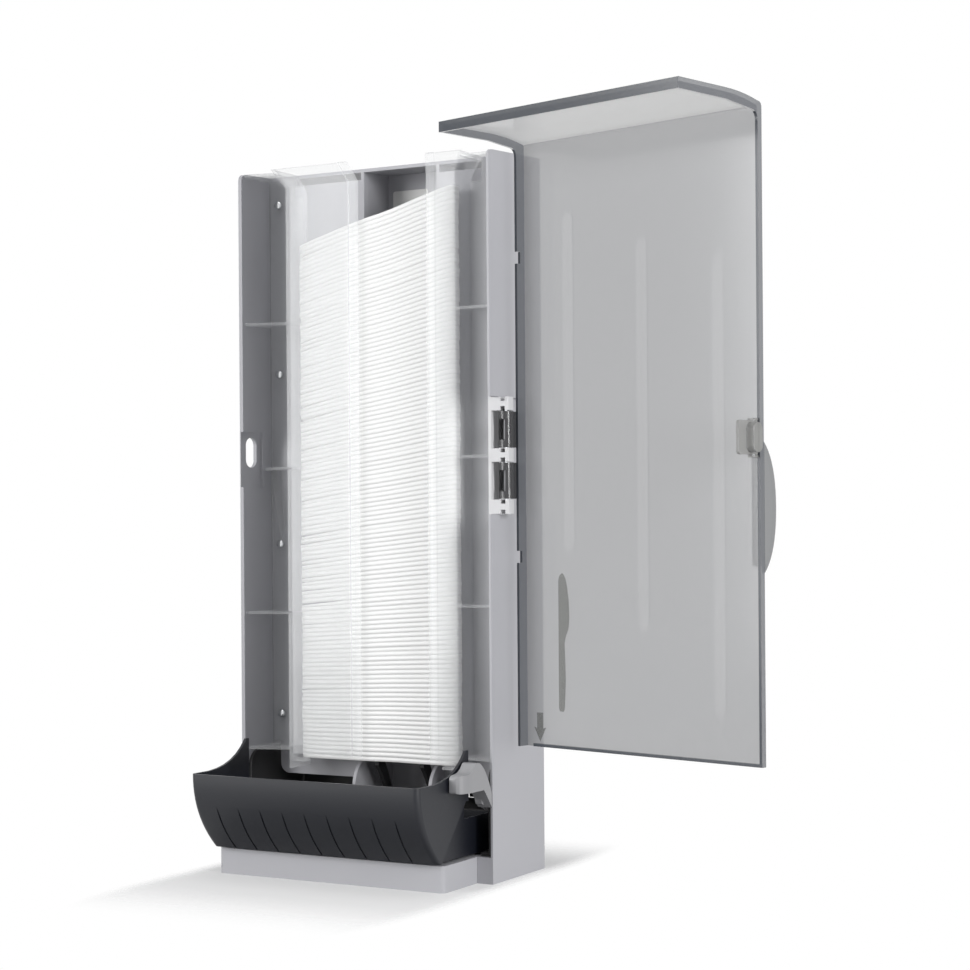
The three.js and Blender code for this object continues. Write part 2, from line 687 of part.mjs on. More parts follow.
// One half of the clear magazine. side is -1 for the left half and 1 for the right one.
function magazineHalf(side, gapEdge, frontBottom, stackBottom) {
  const outer = MAGAZINE_HALF_WIDTH;
  const back = PLATE_SETBACK - SEAT_GAP;
  const edge = side * gapEdge;
  const ring = (out, forward, z) => {
    const gap = edge + (GAP_FLARE * out) / FLARE_OUT;
    const front = MAGAZINE_FRONT - forward;
    const points = [
      [outer + out, back],
      [outer + out, front],
      [gap + LIP_WIDTH, front],
      [gap + LIP_WIDTH, front - LIP_PROUD],
      [gap, front - LIP_PROUD],
      [gap, front + MAGAZINE_WALL],
      [outer + out - MAGAZINE_WALL, front + MAGAZINE_WALL],
      [outer + out - MAGAZINE_WALL, back],
    ].map(([x, y]) => new THREE.Vector3(side * x, y, z));
    return side < 0 ? points : points.reverse();
  };
  const flareStart = magazineTop - FLARE_HEIGHT;
  let body = loft([ring(0, 0, frontBottom), ring(0, 0, flareStart), ring(FLARE_OUT, FLARE_FORWARD, magazineTop)]);

  const span = (x0, x1, y0, y1, z0, z1) =>
    box(Math.min(side * x0, side * x1), Math.max(side * x0, side * x1), y0, y1, z0, z1);
  body = body.add(
    span(outer - MAGAZINE_WALL, outer, MAGAZINE_FRONT, back, MAGAZINE_SIDE_BOTTOM, frontBottom + MAGAZINE_WALL / 2),
  );
  const flangeEnd = innerHalf - SEAT_GAP;
  const flangeTop = HOUSING_FRONT_HEIGHT - GUSSET_THICKNESS;
  body = body.add(span(outer - JOIN_OVERLAP, flangeEnd, flangeFront, back, GUSSET_LOWEST, flangeTop - FLARE_HEIGHT));
  const ear = span(outer + FLARE_OUT, flangeEnd, flangeFront, back, flangeTop - FLARE_HEIGHT - JOIN_OVERLAP, flangeTop + JOIN_OVERLAP);
  body = body.add(ear);

  const gussetFront = side < 0 ? LEFT_GUSSET_FRONT : RIGHT_GUSSET_FRONT;
  for (let i = 0; i < GUSSET_COUNT; i += 1) {
    const z = gussetHeight(side, i);
    const meetsRib = side < 0 && Math.abs(z - RAMP_CENTRE_HEIGHT) < RAMP_HEIGHT / 2;
    const stripBottom = BRACKET_BOTTOM - STRIP_OVERHANG - SEAT_GAP;
    const stripTop = BRACKET_TOP + STRIP_OVERHANG + SEAT_GAP;
    const meetsBracket = side > 0 && z + GUSSET_THICKNESS > stripBottom && z < stripTop;
    const frontAtWall = meetsRib ? STOP_RIB_FRONT + STOP_RIB_THICKNESS + SEAT_GAP : gussetFront;
    const gussetEnd = meetsBracket ? flangeEnd - STRIP_THICKNESS - SEAT_GAP : flangeEnd;
    const start = i === GUSSET_COUNT - 1 ? outer + FLARE_OUT * 0.8 : outer - JOIN_OVERLAP;
    const frontAtStart = i === GUSSET_COUNT - 1 ? MAGAZINE_FRONT - FLARE_FORWARD * 0.6 : MAGAZINE_FRONT;
    const corners = [
      [start, Math.max(frontAtStart, gussetFront)],
      [gussetEnd - STOP_RIB_PROUD, frontAtWall],
      [gussetEnd, frontAtWall],
      [gussetEnd, back - JOIN_OVERLAP],
      [start, back - JOIN_OVERLAP],
    ].map(([x, y]) => [side * x, y]);
    if (side < 0) corners.reverse();
    body = body.add(alongZ(polygon(corners), z, z + GUSSET_THICKNESS));
  }

  // A ledge on the side wall carries the front edge of the lowest knife near its end.
  const ledgeTop = stackBottom - SEAT_GAP;
  const ledgeStart = outer - MAGAZINE_WALL - LEDGE_REACH;
  body = body.add(
    span(ledgeStart, outer - MAGAZINE_WALL / 2, MAGAZINE_FRONT, LEDGE_BACK, ledgeTop - LEDGE_THICKNESS, ledgeTop),
  );

  for (let i = 0; i < SCREW_COUNT; i += 1) {
    const z = SCREW_LOWEST + i * screwPitch;
    const hole = SCREW_RADIUS + SEAT_GAP;
    body = body.subtract(
      cylinderY(hole, flangeFront - OVERRUN / 2, back + OVERRUN / 2, side * screwX, z, 10),
    );
  }
  return body;
}

// A pan head screw along Y with its head towards the front.
function magazineScrew(x, z) {
  const headBack = flangeFront - SEAT_GAP;
  const profile = [
    [0, -SCREW_HEAD_HEIGHT],
    [SCREW_HEAD_RADIUS * 0.55, -SCREW_HEAD_HEIGHT],
    [SCREW_HEAD_RADIUS * 0.9, -SCREW_HEAD_HEIGHT * 0.7],
    [SCREW_HEAD_RADIUS, -SCREW_HEAD_HEIGHT * 0.25],
    [SCREW_HEAD_RADIUS, 0],
    [SCREW_RADIUS, 0],
    [SCREW_RADIUS, SCREW_LENGTH],
    [0, SCREW_LENGTH],
  ].map(([r, h]) => new THREE.Vector2(r, h));
  const geometry = new THREE.LatheGeometry(profile, 12);
  geometry.translate(x, headBack, z);
  return solid(geometry);
}



// Knife number i of the stack: the height of its underside at a place along it.
function knifeHeight(i, x) {
  const share = (x - BLADE_END) / (HANDLE_END - BLADE_END);
  const blade = STACK_BLADE_BOTTOM + i * BLADE_PITCH;
  const handle = STACK_HANDLE_BOTTOM + i * HANDLE_PITCH;
  return blade + (handle - blade) * share;
}

function knifeThickness(x) {
  const share = (x - BLADE_END) / (HANDLE_END - BLADE_END);
  return BLADE_THICKNESS + (HANDLE_THICKNESS - BLADE_THICKNESS) * share;
}

// The knife's outline from above as shares of its length and width, anticlockwise from the blade's front.
const knifeOutlineShares = [
  [0.05, 0],
  [1, 0.04],
  [1, 0.96],
  [0.54, 0.78],
  [0.1, 1],
  [0, 0.5],
];

function knifeRing(i, lift, inset) {
  const length = HANDLE_END - BLADE_END;
  return knifeOutlineShares.map(([u, v]) => {
    const groove = inset ? BLADE_GROOVE + (HANDLE_GROOVE - BLADE_GROOVE) * u : 0;
    const x = BLADE_END + length * u + (u < 0.5 ? groove : -groove);
    const y = KNIFE_FRONT + KNIFE_WIDTH * v + (v < 0.5 ? groove : v > 0.5 ? -groove : 0);
    return new THREE.Vector3(x, y, knifeHeight(i, x) + lift * knifeThickness(x));
  });
}

// Knives first to last of the stack, joined where they press on each other.
function knifeBundle(first, last) {
  const rings = [];
  for (let i = first; i <= last; i += 1) {
    rings.push(knifeRing(i, 0, false), knifeRing(i, 1, false));
    if (i < last) rings.push(knifeRing(i, 1, true), knifeRing(i + 1, 0, true));
  }
  return loft(rings);
}

// The lowest knife, which the fingers push out.
function nextKnife() {
  const length = HANDLE_END - BLADE_END;
  const outline = new THREE.Shape();
  const at = (u, v) => [BLADE_END + length * u, KNIFE_FRONT + KNIFE_WIDTH * v];
  outline.moveTo(...at(0.04, 0));
  outline.lineTo(...at(0.9, 0.04));
  outline.quadraticCurveTo(...at(1, 0.04), ...at(1, 0.5));
  outline.quadraticCurveTo(...at(1, 0.96), ...at(0.9, 0.94));
  outline.quadraticCurveTo(...at(0.66, 0.66), ...at(0.52, 0.76));
  outline.quadraticCurveTo(...at(0.3, 1), ...at(0.12, 0.98));
  outline.quadraticCurveTo(...at(0, 0.7), ...at(0.04, 0));
  const points = outline.getPoints(3).slice(0, -1);
  const ring = (lift) => points.map((p) => new THREE.Vector3(p.x, p.y, knifeHeight(0, p.x) + lift * knifeThickness(p.x)));
  return loft([ring(0), ring(1)]);
}

function labelPlate() {
  const back = recessBack - SEAT_GAP;
  const top = HOUSING_FRONT_HEIGHT - LABEL_BELOW_TOP;
  const radii = [LABEL_RADIUS, LABEL_RADIUS, LABEL_RADIUS, LABEL_RADIUS];
  const shape = roundedRectangle(LABEL_LEFT, LABEL_LEFT + LABEL_WIDTH, top - LABEL_HEIGHT, top, radii);
  return alongY(shape, back - LABEL_THICKNESS, back, 3);
}

// The hinge bracket: a strip in the wall's cut-out with three lugs that hold the pins.
function hingeBracket() {
  const stripOuter = innerHalf - SEAT_GAP;
  const stripInner = stripOuter - STRIP_THICKNESS;
  const lugOuter = pinX + LUG_REACH;
  const lugSpans = [
    [BRACKET_BOTTOM, LOWER_ARM_BOTTOM - ARM_GAP],
    [LOWER_ARM_BOTTOM + ARM_HEIGHT + ARM_GAP, UPPER_ARM_BOTTOM - ARM_GAP],
    [UPPER_ARM_BOTTOM + ARM_HEIGHT + ARM_GAP, BRACKET_TOP],
  ];
  let body = box(
    stripInner,
    stripOuter - STRIP_STEP,
    BRACKET_FRONT,
    BRACKET_BACK,
    BRACKET_BOTTOM - STRIP_OVERHANG,
    BRACKET_TOP + STRIP_OVERHANG,
  );
  for (const [z0, z1] of lugSpans) {
    const radii = [0, LUG_FRONT_RADIUS, LUG_BACK_RADIUS, 0];
    const lug = roundedRectangle(stripInner + JOIN_OVERLAP, lugOuter, BRACKET_FRONT, BRACKET_BACK, radii);
    body = body.add(alongZ(lug, z0, z1, 4));
    // The pins' ends and the screws sit in square notches that open to the front.
    const half = PIN_NOTCH / 2;
    for (const [n0, n1] of [
      [z0 - OVERRUN, z0 + PIN_NOTCH_DEPTH],
      [z1 - PIN_NOTCH_DEPTH, z1 + OVERRUN],
    ]) {
      body = body.subtract(box(pinX - half, pinX + half, BRACKET_FRONT - OVERRUN, PIN_Y + half, n0, n1));
    }
  }
  return body;
}

function pinSpans() {
  return [LOWER_ARM_BOTTOM, UPPER_ARM_BOTTOM].map((bottom) => {
    const middle = bottom + ARM_HEIGHT / 2;
    return [middle - PIN_SPAN / 2, middle + PIN_SPAN / 2];
  });
}

// A steel hinge pin.
function hingePin([bottom, top]) {
  return cylinderZ(PIN_RADIUS, bottom, top, pinX, PIN_Y, 12);
}

// The metal sleeve round the middle of a hinge pin.
function hingeSleeve([bottom, top]) {
  const middle = (bottom + top) / 2;
  const outer = cylinderZ(SLEEVE_RADIUS, middle - SLEEVE_LENGTH / 2, middle + SLEEVE_LENGTH / 2, pinX, PIN_Y, 16);
  const bore = cylinderZ(PIN_RADIUS + SEAT_GAP, middle - SLEEVE_LENGTH, middle + SLEEVE_LENGTH, pinX, PIN_Y, 12);
  return outer.subtract(bore);
}

// A hinge arm as it lies with the door shut: a strap on the outside of the hinge flange that ends round the pin.
function hingeArm(bottom) {
  const top = bottom + ARM_HEIGHT;
  const footInner = doorHingeEdge + SEAT_GAP;
  const footOuter = footInner + ARM_STRAP;
  const outline = new THREE.Shape();
  const join = Math.sqrt(BARREL_RADIUS ** 2 - (pinX - footInner) ** 2);
  const from = Math.atan2(-Math.sqrt(BARREL_RADIUS ** 2 - (footOuter - pinX) ** 2), footOuter - pinX);
  const to = Math.atan2(-join, footInner - pinX) + 2 * Math.PI;
  outline.moveTo(footInner, DOOR_FRONT + ARM_FRONT_INSET);
  outline.lineTo(footOuter, DOOR_FRONT + ARM_FRONT_INSET);
  outline.absarc(pinX, PIN_Y, BARREL_RADIUS, from, to, false);
  let body = alongZ(outline, bottom, top, 20);
  const windowBottom = bottom + KNUCKLE_HEIGHT;
  const windowTop = top - KNUCKLE_HEIGHT;
  const half = WINDOW_WIDTH / 2;
  body = body.subtract(cylinderZ(half, windowBottom, windowTop, pinX, PIN_Y, 16));
  body = body.subtract(box(pinX - half, pinX + half, PIN_Y, PIN_Y + BARREL_RADIUS + OVERRUN, windowBottom, windowTop));
  return body.subtract(cylinderZ(PIN_RADIUS + RUNNING_GAP, bottom - OVERRUN, top + OVERRUN, pinX, PIN_Y, 12));
}

// The door shell as it lies when shut: panel, roof, flanges and raised flutes.
function doorShell() {
  const right = doorHingeEdge;
  const left = right - doorWidth;
  const back = DOOR_FRONT + ROOF_REACH;
  const inside = DOOR_FRONT + DOOR_WALL;
  const roofUnder = doorTop - DOOR_WALL;
  const lipBottom = doorTop - ROOF_LIP;

  // The side profile in Y and Z: panel and roof meet in a rounded corner.
  const skin = new THREE.Shape();
  skin.moveTo(DOOR_FRONT, DOOR_BOTTOM);
  skin.lineTo(inside, DOOR_BOTTOM);
  const cornerTop = doorTop - ROOF_DROP;
  const cornerUnder = cornerTop - DOOR_WALL;
  const crownStart = DOOR_FRONT + ROOF_CROWN;
  skin.lineTo(inside, cornerUnder - DOOR_CORNER_RADIUS + DOOR_WALL);
  skin.quadraticCurveTo(inside, cornerUnder, inside + DOOR_CORNER_RADIUS - DOOR_WALL, cornerUnder);
  skin.quadraticCurveTo(crownStart / 2, roofUnder, crownStart, roofUnder);
  skin.lineTo(back - DOOR_WALL, roofUnder);
  skin.lineTo(back - DOOR_WALL, lipBottom);
  skin.lineTo(back, lipBottom);
  skin.lineTo(back, doorTop);
  skin.lineTo(crownStart, doorTop);
  skin.quadraticCurveTo(crownStart / 2, doorTop, DOOR_FRONT + DOOR_CORNER_RADIUS, cornerTop);
  skin.quadraticCurveTo(DOOR_FRONT, cornerTop, DOOR_FRONT, cornerTop - DOOR_CORNER_RADIUS);
  let body = alongX(skin, left, right, 5);

  // A flange is an L-shaped frame in the plane of the side, with a fillet inside its corner.
  const flange = (depth) => {
    const edge = DOOR_FRONT + depth;
    const fillet = LIP_FILLET;
    const shape = new THREE.Shape();
    shape.moveTo(DOOR_FRONT, DOOR_BOTTOM);
    shape.lineTo(edge, DOOR_BOTTOM);
    const filletTop = lipBottom - ROOF_DROP * (1 - (depth + fillet) / ROOF_CROWN);
    shape.lineTo(edge, filletTop - fillet);
    shape.quadraticCurveTo(edge, filletTop, edge + fillet, filletTop);
    shape.lineTo(crownStart, lipBottom);
    shape.lineTo(back, lipBottom);
    shape.lineTo(back, doorTop);
    shape.lineTo(crownStart, doorTop);
    shape.quadraticCurveTo(crownStart / 2, doorTop, DOOR_FRONT + DOOR_CORNER_RADIUS, cornerTop);
    shape.quadraticCurveTo(DOOR_FRONT, cornerTop, DOOR_FRONT, cornerTop - DOOR_CORNER_RADIUS);
    return shape;
  };
  body = body.add(alongX(flange(HINGE_FLANGE), right - DOOR_WALL, right, 5));
  body = body.add(alongX(flange(FREE_FLANGE), left, left + DOOR_WALL, 5));
  // The bottom flange stops short of the right wall, whose front edge the panel covers.
  const bottomEnd = innerHalf - BOTTOM_FLANGE_STEP;
  body = body.add(box(left, bottomEnd, DOOR_FRONT, DOOR_FRONT + FREE_FLANGE, DOOR_BOTTOM, DOOR_BOTTOM + DOOR_WALL));

  for (const [share, low, high] of fluteShares) {
    const x = right - doorWidth * share;
    const z0 = DOOR_BOTTOM + (doorTop - DOOR_BOTTOM) * low;
    const z1 = DOOR_BOTTOM + (doorTop - DOOR_BOTTOM) * high;
    const r = FLUTE_WIDTH / 2;
    const shape = roundedRectangle(x - r, x + r, z0, z1, [r, r, r, r]);
    body = body.add(alongY(shape, DOOR_FRONT - FLUTE_HEIGHT, DOOR_FRONT + DOOR_WALL / 2, 4));
  }
  for (const share of notchShares) {
    const z = DOOR_BOTTOM + (doorTop - DOOR_BOTTOM) * share;
    const edge = DOOR_FRONT + HINGE_FLANGE;
    body = body.subtract(box(right - OVERRUN, right + OVERRUN, edge - NOTCH_WIDTH, edge + OVERRUN, z, z + NOTCH_HEIGHT));
  }
  return body;
}

// Flutes: place across the door from the hinge edge, lower end and upper end, as shares of width and height.
const fluteShares = [
  [0.196, 0.321, 0.866],
  [0.515, 0.194, 0.811],
  [0.825, 0.071, 0.773],
];
const notchShares = [0.3, 0.79];

// The crescent grip stands on the door's outer face at its free edge.
function doorGrip() {
  const left = doorHingeEdge - doorWidth;
  const foot = DOOR_FRONT - SEAT_GAP;
  const half = GRIP_HEIGHT / 2;
  const shape = new THREE.Shape();
  shape.moveTo(foot, GRIP_CENTRE_HEIGHT - half);
  shape.lineTo(foot, GRIP_CENTRE_HEIGHT + half);
  shape.quadraticCurveTo(foot - GRIP_PROJECTION, GRIP_CENTRE_HEIGHT + half * 0.7, foot - GRIP_PROJECTION, GRIP_CENTRE_HEIGHT);
  shape.quadraticCurveTo(foot - GRIP_PROJECTION, GRIP_CENTRE_HEIGHT - half * 0.7, foot, GRIP_CENTRE_HEIGHT - half);
  const blade = alongX(shape, left, left + GRIP_THICKNESS, 10);
  const footPlate = box(
    left,
    left + GRIP_FOOT,
    foot - GRIP_THICKNESS * 0.6,
    foot,
    GRIP_CENTRE_HEIGHT - half * 0.9,
    GRIP_CENTRE_HEIGHT + half * 0.9,
  );
  return blade.add(footPlate);
}

const latchHubX = doorHingeEdge - doorWidth + LATCH_HUB_RADIUS + LATCH_HUB_INSET;
const latchHubY = DOOR_FRONT + FREE_FLANGE + SEAT_GAP + LATCH_HUB_RADIUS;

// The springy tongue with its oval boss, hinged near the door's free edge.
function doorLatch() {
  const z0 = SLOT_CENTRE_HEIGHT - LATCH_HEIGHT / 2;
  const z1 = SLOT_CENTRE_HEIGHT + LATCH_HEIGHT / 2;
  const x0 = doorHingeEdge - doorWidth;
  const tip = DOOR_FRONT + LATCH_REACH;
  const corner = LATCH_THICKNESS;
  const tongue = alongX(roundedRectangle(latchHubY, tip, z0, z1, [0, corner, corner, 0]), x0, x0 + LATCH_THICKNESS, 4);
  const hub = cylinderZ(LATCH_HUB_RADIUS, z0, z1, latchHubX, latchHubY, 16);
  const half = SLOT_WIDTH / 2 - BOSS_CLEARANCE;
  const bossHalf = SLOT_HEIGHT / 2 - BOSS_CLEARANCE * 2;
  const shape = roundedRectangle(
    SLOT_CENTRE_DEPTH - half,
    SLOT_CENTRE_DEPTH + half,
    SLOT_CENTRE_HEIGHT - bossHalf,
    SLOT_CENTRE_HEIGHT + bossHalf,
    [half, half, half, half],
  );
  const boss = alongX(shape, -innerHalf - LATCH_ENGAGEMENT, x0 + LATCH_THICKNESS / 2, 5);
  const bore = cylinderZ(LATCH_PIN_RADIUS + RUNNING_GAP, z0 - OVERRUN, z1 + OVERRUN, latchHubX, latchHubY, 12);
  return union(tongue, hub, boss).subtract(bore);
}

// Two ears on a foot hold the latch pin against the door's inner face.
function latchBracket() {
  const z0 = SLOT_CENTRE_HEIGHT - LATCH_HEIGHT / 2 - SEAT_GAP;
  const z1 = SLOT_CENTRE_HEIGHT + LATCH_HEIGHT / 2 + SEAT_GAP;
  const left = latchHubX - LATCH_HUB_RADIUS;
  const right = latchHubX + LATCH_HUB_RADIUS + LATCH_EAR;
  const foot = DOOR_FRONT + DOOR_WALL + SEAT_GAP;
  const earBack = latchHubY + LATCH_HUB_RADIUS;
  const ear = roundedRectangle(left, right, DOOR_FRONT + FREE_FLANGE + SEAT_GAP, earBack, [0, 0, LATCH_EAR, LATCH_EAR / 2]);
  const keel = box(right - LATCH_EAR + SEAT_GAP, right, foot, earBack - LATCH_EAR, z0 - LATCH_EAR, z1 + LATCH_EAR);
  const bore = cylinderZ(LATCH_PIN_RADIUS + SEAT_GAP, z0 - OVERRUN, z1 + OVERRUN, latchHubX, latchHubY, 12);
  return union(keel, alongZ(ear, z0 - LATCH_EAR, z0, 4), alongZ(ear, z1, z1 + LATCH_EAR, 4)).subtract(bore);
}

function latchPin() {
  const reach = LATCH_HEIGHT / 2 + SEAT_GAP + LATCH_EAR;
  return cylinderZ(LATCH_PIN_RADIUS, SLOT_CENTRE_HEIGHT - reach, SLOT_CENTRE_HEIGHT + reach, latchHubX, latchHubY, 12);
}

// How far the tray's front stands out at a height: a belly that curls under towards the toe.
function trayFrontAt(z) {
  const share = Math.max(0, (TRAY_RIM - z) / (TRAY_RIM - TRAY_BOTTOM));
  return TRAY_FRONT + (TRAY_TOE - TRAY_FRONT) * share ** 2.2;
}

// A plan outline of the tray with rounded front corners.
function trayRing(half, front, back, radius, z) {
  const steps = 6;
  const points = [new THREE.Vector3(half, back, z), new THREE.Vector3(-half, back, z)];
  for (let i = 0; i <= steps; i += 1) {
    const angle = Math.PI + ((Math.PI / 2) * i) / steps;
    points.push(
      new THREE.Vector3(-half + radius + radius * Math.cos(angle), front + radius + radius * Math.sin(angle), z),
    );
  }
  for (let i = 0; i <= steps; i += 1) {
    const angle = 1.5 * Math.PI + ((Math.PI / 2) * i) / steps;
    points.push(
      new THREE.Vector3(half - radius + radius * Math.cos(angle), front + radius + radius * Math.sin(angle), z),
    );
  }
  return points;
}

// The black tray that catches the knives.
function catchTray() {
  const levels = 12;
  const outerRings = [];
  const innerRings = [];
  for (let i = 0; i <= levels; i += 1) {
    const z = TRAY_BOTTOM + ((TRAY_RIM - TRAY_BOTTOM) * i) / levels;
    outerRings.push(trayRing(trayHalfWidth, trayFrontAt(z), TRAY_BACK, TRAY_CORNER, z));
    const lift = i === 0 ? TRAY_WALL : i === levels ? TRAY_WALL / 2 : 0;
    innerRings.push(
      trayRing(
        trayHalfWidth - TRAY_WALL,
        trayFrontAt(z) + TRAY_WALL,
        TRAY_BACK - TRAY_WALL,
        TRAY_CORNER - TRAY_WALL,
        z + lift,
      ),
    );
  }
  // Behind a slanting line the sides step inwards, to pass the foot of the housing.
  const setIn = (grow) =>
    polygon([
      [TRAY_TOE - grow, TRAY_BOTTOM - OVERRUN],
      [TRAY_BACK + OVERRUN, TRAY_BOTTOM - OVERRUN],
      [TRAY_BACK + OVERRUN, TRAY_BACK_HEIGHT + TRAY_INSET * 3.4 + grow],
      [HORN_BACK - TRAY_INSET, TRAY_BACK_HEIGHT + TRAY_INSET * 3.4 + grow],
    ]);
  let outer = loft(outerRings);
  let inner = loft(innerRings);
  for (const side of [-1, 1]) {
    const strip = (from, to, grow) =>
      alongX(setIn(grow), Math.min(side * from, side * to), Math.max(side * from, side * to));
    outer = outer.subtract(strip(trayHalfWidth - TRAY_INSET, trayHalfWidth + OVERRUN, 0));
    inner = inner.subtract(strip(trayHalfWidth - TRAY_INSET - TRAY_WALL, trayHalfWidth + OVERRUN, TRAY_WALL));
  }
  let body = outer.subtract(inner);
  body = body.subtract(
    box(-trayHalfWidth - OVERRUN, trayHalfWidth + OVERRUN, HORN_BACK, TRAY_BACK + OVERRUN, TRAY_BACK_HEIGHT, TRAY_RIM + OVERRUN),
  );

  // The horns sweep up from the rim beside the housing.
  const horn = new THREE.Shape();
  horn.moveTo(HORN_START, TRAY_RIM - TRAY_WALL / 2);
  horn.lineTo(HORN_START, TRAY_RIM);
  horn.quadraticCurveTo(HORN_FRONT - HORN_SWEEP, TRAY_RIM + HORN_LEAD, HORN_FRONT, HORN_TOP);
  horn.lineTo(HORN_BACK, HORN_TOP);
  horn.lineTo(HORN_BACK, TRAY_RIM - TRAY_WALL / 2);
  body = body.add(alongX(horn, -trayHalfWidth, -trayHalfWidth + TRAY_WALL, 6));
  body = body.add(alongX(horn, trayHalfWidth - TRAY_WALL, trayHalfWidth, 6));

  for (let i = 0; i < GROOVE_COUNT; i += 1) {
    body = body.subtract(trayGroove(GROOVE_FIRST + i * GROOVE_PITCH));
  }
  const runnerBottom = BASE_HEIGHT + SEAT_GAP;
  for (const side of [-1, 1]) {
    const x = (side * RUNNER_SPACING) / 2;
    const front = TRAY_TOE + TRAY_CORNER * 3;
    body = body.add(
      box(x - RUNNER_WIDTH / 2, x + RUNNER_WIDTH / 2, front, TRAY_BACK - OVERRUN, runnerBottom, TRAY_BOTTOM + TRAY_WALL / 2),
    );
  }
  return body;
}

// A shallow groove that follows the tray's belly down to its toe.
function trayGroove(x) {
  const steps = 5;
  const outer = [];
  const inner = [];
  for (let i = 0; i <= steps; i += 1) {
    const z = TRAY_BOTTOM - GROOVE_DEPTH + ((GROOVE_TOP - TRAY_BOTTOM + GROOVE_DEPTH) * i) / steps;
    const fade = i === steps ? 0 : GROOVE_DEPTH;
    outer.push([trayFrontAt(z) - OVERRUN, z]);
    inner.push([trayFrontAt(z) + fade, z]);
  }
  const shape = polygon([...inner, ...outer.reverse()]);
  return alongX(shape, x - GROOVE_WIDTH / 2, x + GROOVE_WIDTH / 2);
}

// The hood's outline as shares of its length and height: the start, then a control point and an end for
// each curve in turn round the tab, its step, the peak and the drop to the wall.
const hoodStartShares = [0.04, 0];
const hoodCurveShares = [
  [[0, 0], [0, 0.13]],
  [[0, 0.3], [0, 0.47]],
  [[0, 0.64], [0.13, 0.64]],
  [[0.34, 0.64], [0.445, 0.957]],
  [[0.55, 1.06], [0.657, 0.87]],
  [[0.873, 0.51], [1, -0.21]],
  [[1, -0.45], [1, -0.68]],
  [[0.894, -0.38], [0.725, 0]],
];

// The lever in side view: a thumb tab, a rounded hood, and an arm that drops to the shaft.
function dispensingLever() {
  const length = -LEVER_WALL_GAP - LEVER_TAB_FRONT;
  const height = LEVER_PEAK - LEVER_TAB_BOTTOM;
  const at = ([u, v]) => [LEVER_TAB_FRONT + length * u, LEVER_TAB_BOTTOM + height * v];
  const hood = new THREE.Shape();
  hood.moveTo(...at(hoodStartShares));
  for (const [control, end] of hoodCurveShares) hood.quadraticCurveTo(...at(control), ...at(end));
  let outerBlock = alongX(hood, leverInner, leverOuter, 6);
  // Seen from above the nose is rounded off towards the tray.
  const nose = new THREE.Shape();
  nose.moveTo(leverOuter + OVERRUN, LEVER_TAB_FRONT - OVERRUN);
  nose.lineTo(leverOuter + OVERRUN, LEVER_TAB_FRONT + LEVER_NOSE_LENGTH);
  nose.lineTo(leverOuter, LEVER_TAB_FRONT + LEVER_NOSE_LENGTH);
  nose.quadraticCurveTo(leverOuter, LEVER_TAB_FRONT, leverInner + LEVER_NOSE_FLAT, LEVER_TAB_FRONT);
  nose.lineTo(leverInner + LEVER_NOSE_FLAT, LEVER_TAB_FRONT - OVERRUN);
  outerBlock = outerBlock.subtract(alongZ(nose, LEVER_TAB_BOTTOM - OVERRUN, LEVER_PEAK + OVERRUN, 6));
  const rise = LEVER_TAB_BOTTOM - SHAFT_Z;
  const arm = new THREE.Shape();
  arm.moveTo(...at([0.83, -0.085]));
  arm.lineTo(...at([0.915, -0.55]));
  arm.quadraticCurveTo(SHAFT_Y * 0.4, SHAFT_Z + rise * 0.35, SHAFT_Y - HUB_RADIUS, SHAFT_Z);
  arm.absarc(SHAFT_Y, SHAFT_Z, HUB_RADIUS, Math.PI, Math.PI * 2.3, false);
  arm.quadraticCurveTo(SHAFT_Y * 0.5, SHAFT_Z + rise * 0.85, -LEVER_WALL_GAP, LEVER_TAB_BOTTOM);
  const armBody = alongX(arm, leverInner, leverArmOuter, 8);
  const bore = cylinderX(SHAFT_RADIUS + SEAT_GAP, leverInner - OVERRUN, leverArmOuter + OVERRUN, SHAFT_Y, SHAFT_Z, 16);
  return outerBlock.add(armBody).subtract(bore);
}

function kickerShaft() {
  return cylinderX(SHAFT_RADIUS, shaftLeft, leverArmOuter, SHAFT_Y, SHAFT_Z, 16);
}

// A finger stands up from the shaft behind the lowest knife.
function kickerFinger(x) {
  const knifeBack = KNIFE_FRONT + KNIFE_WIDTH * 0.86;
  const front = knifeBack + SEAT_GAP;
  const waist = SHAFT_Z + (FINGER_TOP - SHAFT_Z) * 0.47;
  const shape = new THREE.Shape();
  shape.moveTo(SHAFT_Y + HUB_RADIUS, SHAFT_Z);
  shape.quadraticCurveTo(SHAFT_Y + HUB_RADIUS * 0.6, waist, front + FINGER_REACH, FINGER_TOP);
  shape.lineTo(front, FINGER_TOP);
  shape.lineTo(front, FINGER_TOP - FINGER_TIP);
  shape.quadraticCurveTo(SHAFT_Y - HUB_RADIUS * 0.5, waist, SHAFT_Y - HUB_RADIUS, SHAFT_Z);
  shape.absarc(SHAFT_Y, SHAFT_Z, HUB_RADIUS, Math.PI, Math.PI * 2, false);
  const body = alongX(shape, x - FINGER_WIDTH / 2, x + FINGER_WIDTH / 2, 8);
  return body.subtract(
    cylinderX(SHAFT_RADIUS + SEAT_GAP, x - FINGER_WIDTH, x + FINGER_WIDTH, SHAFT_Y, SHAFT_Z, 16),
  );
}

function shaftBush(side) {
  const x = side * bearingX;
  const outer = cylinderX(BUSH_RADIUS, x - BUSH_LENGTH / 2, x + BUSH_LENGTH / 2, SHAFT_Y, SHAFT_Z);
  const bore = cylinderX(SHAFT_RADIUS + SEAT_GAP, x - BUSH_LENGTH, x + BUSH_LENGTH, SHAFT_Y, SHAFT_Z, 16);
  return outer.subtract(bore);
}

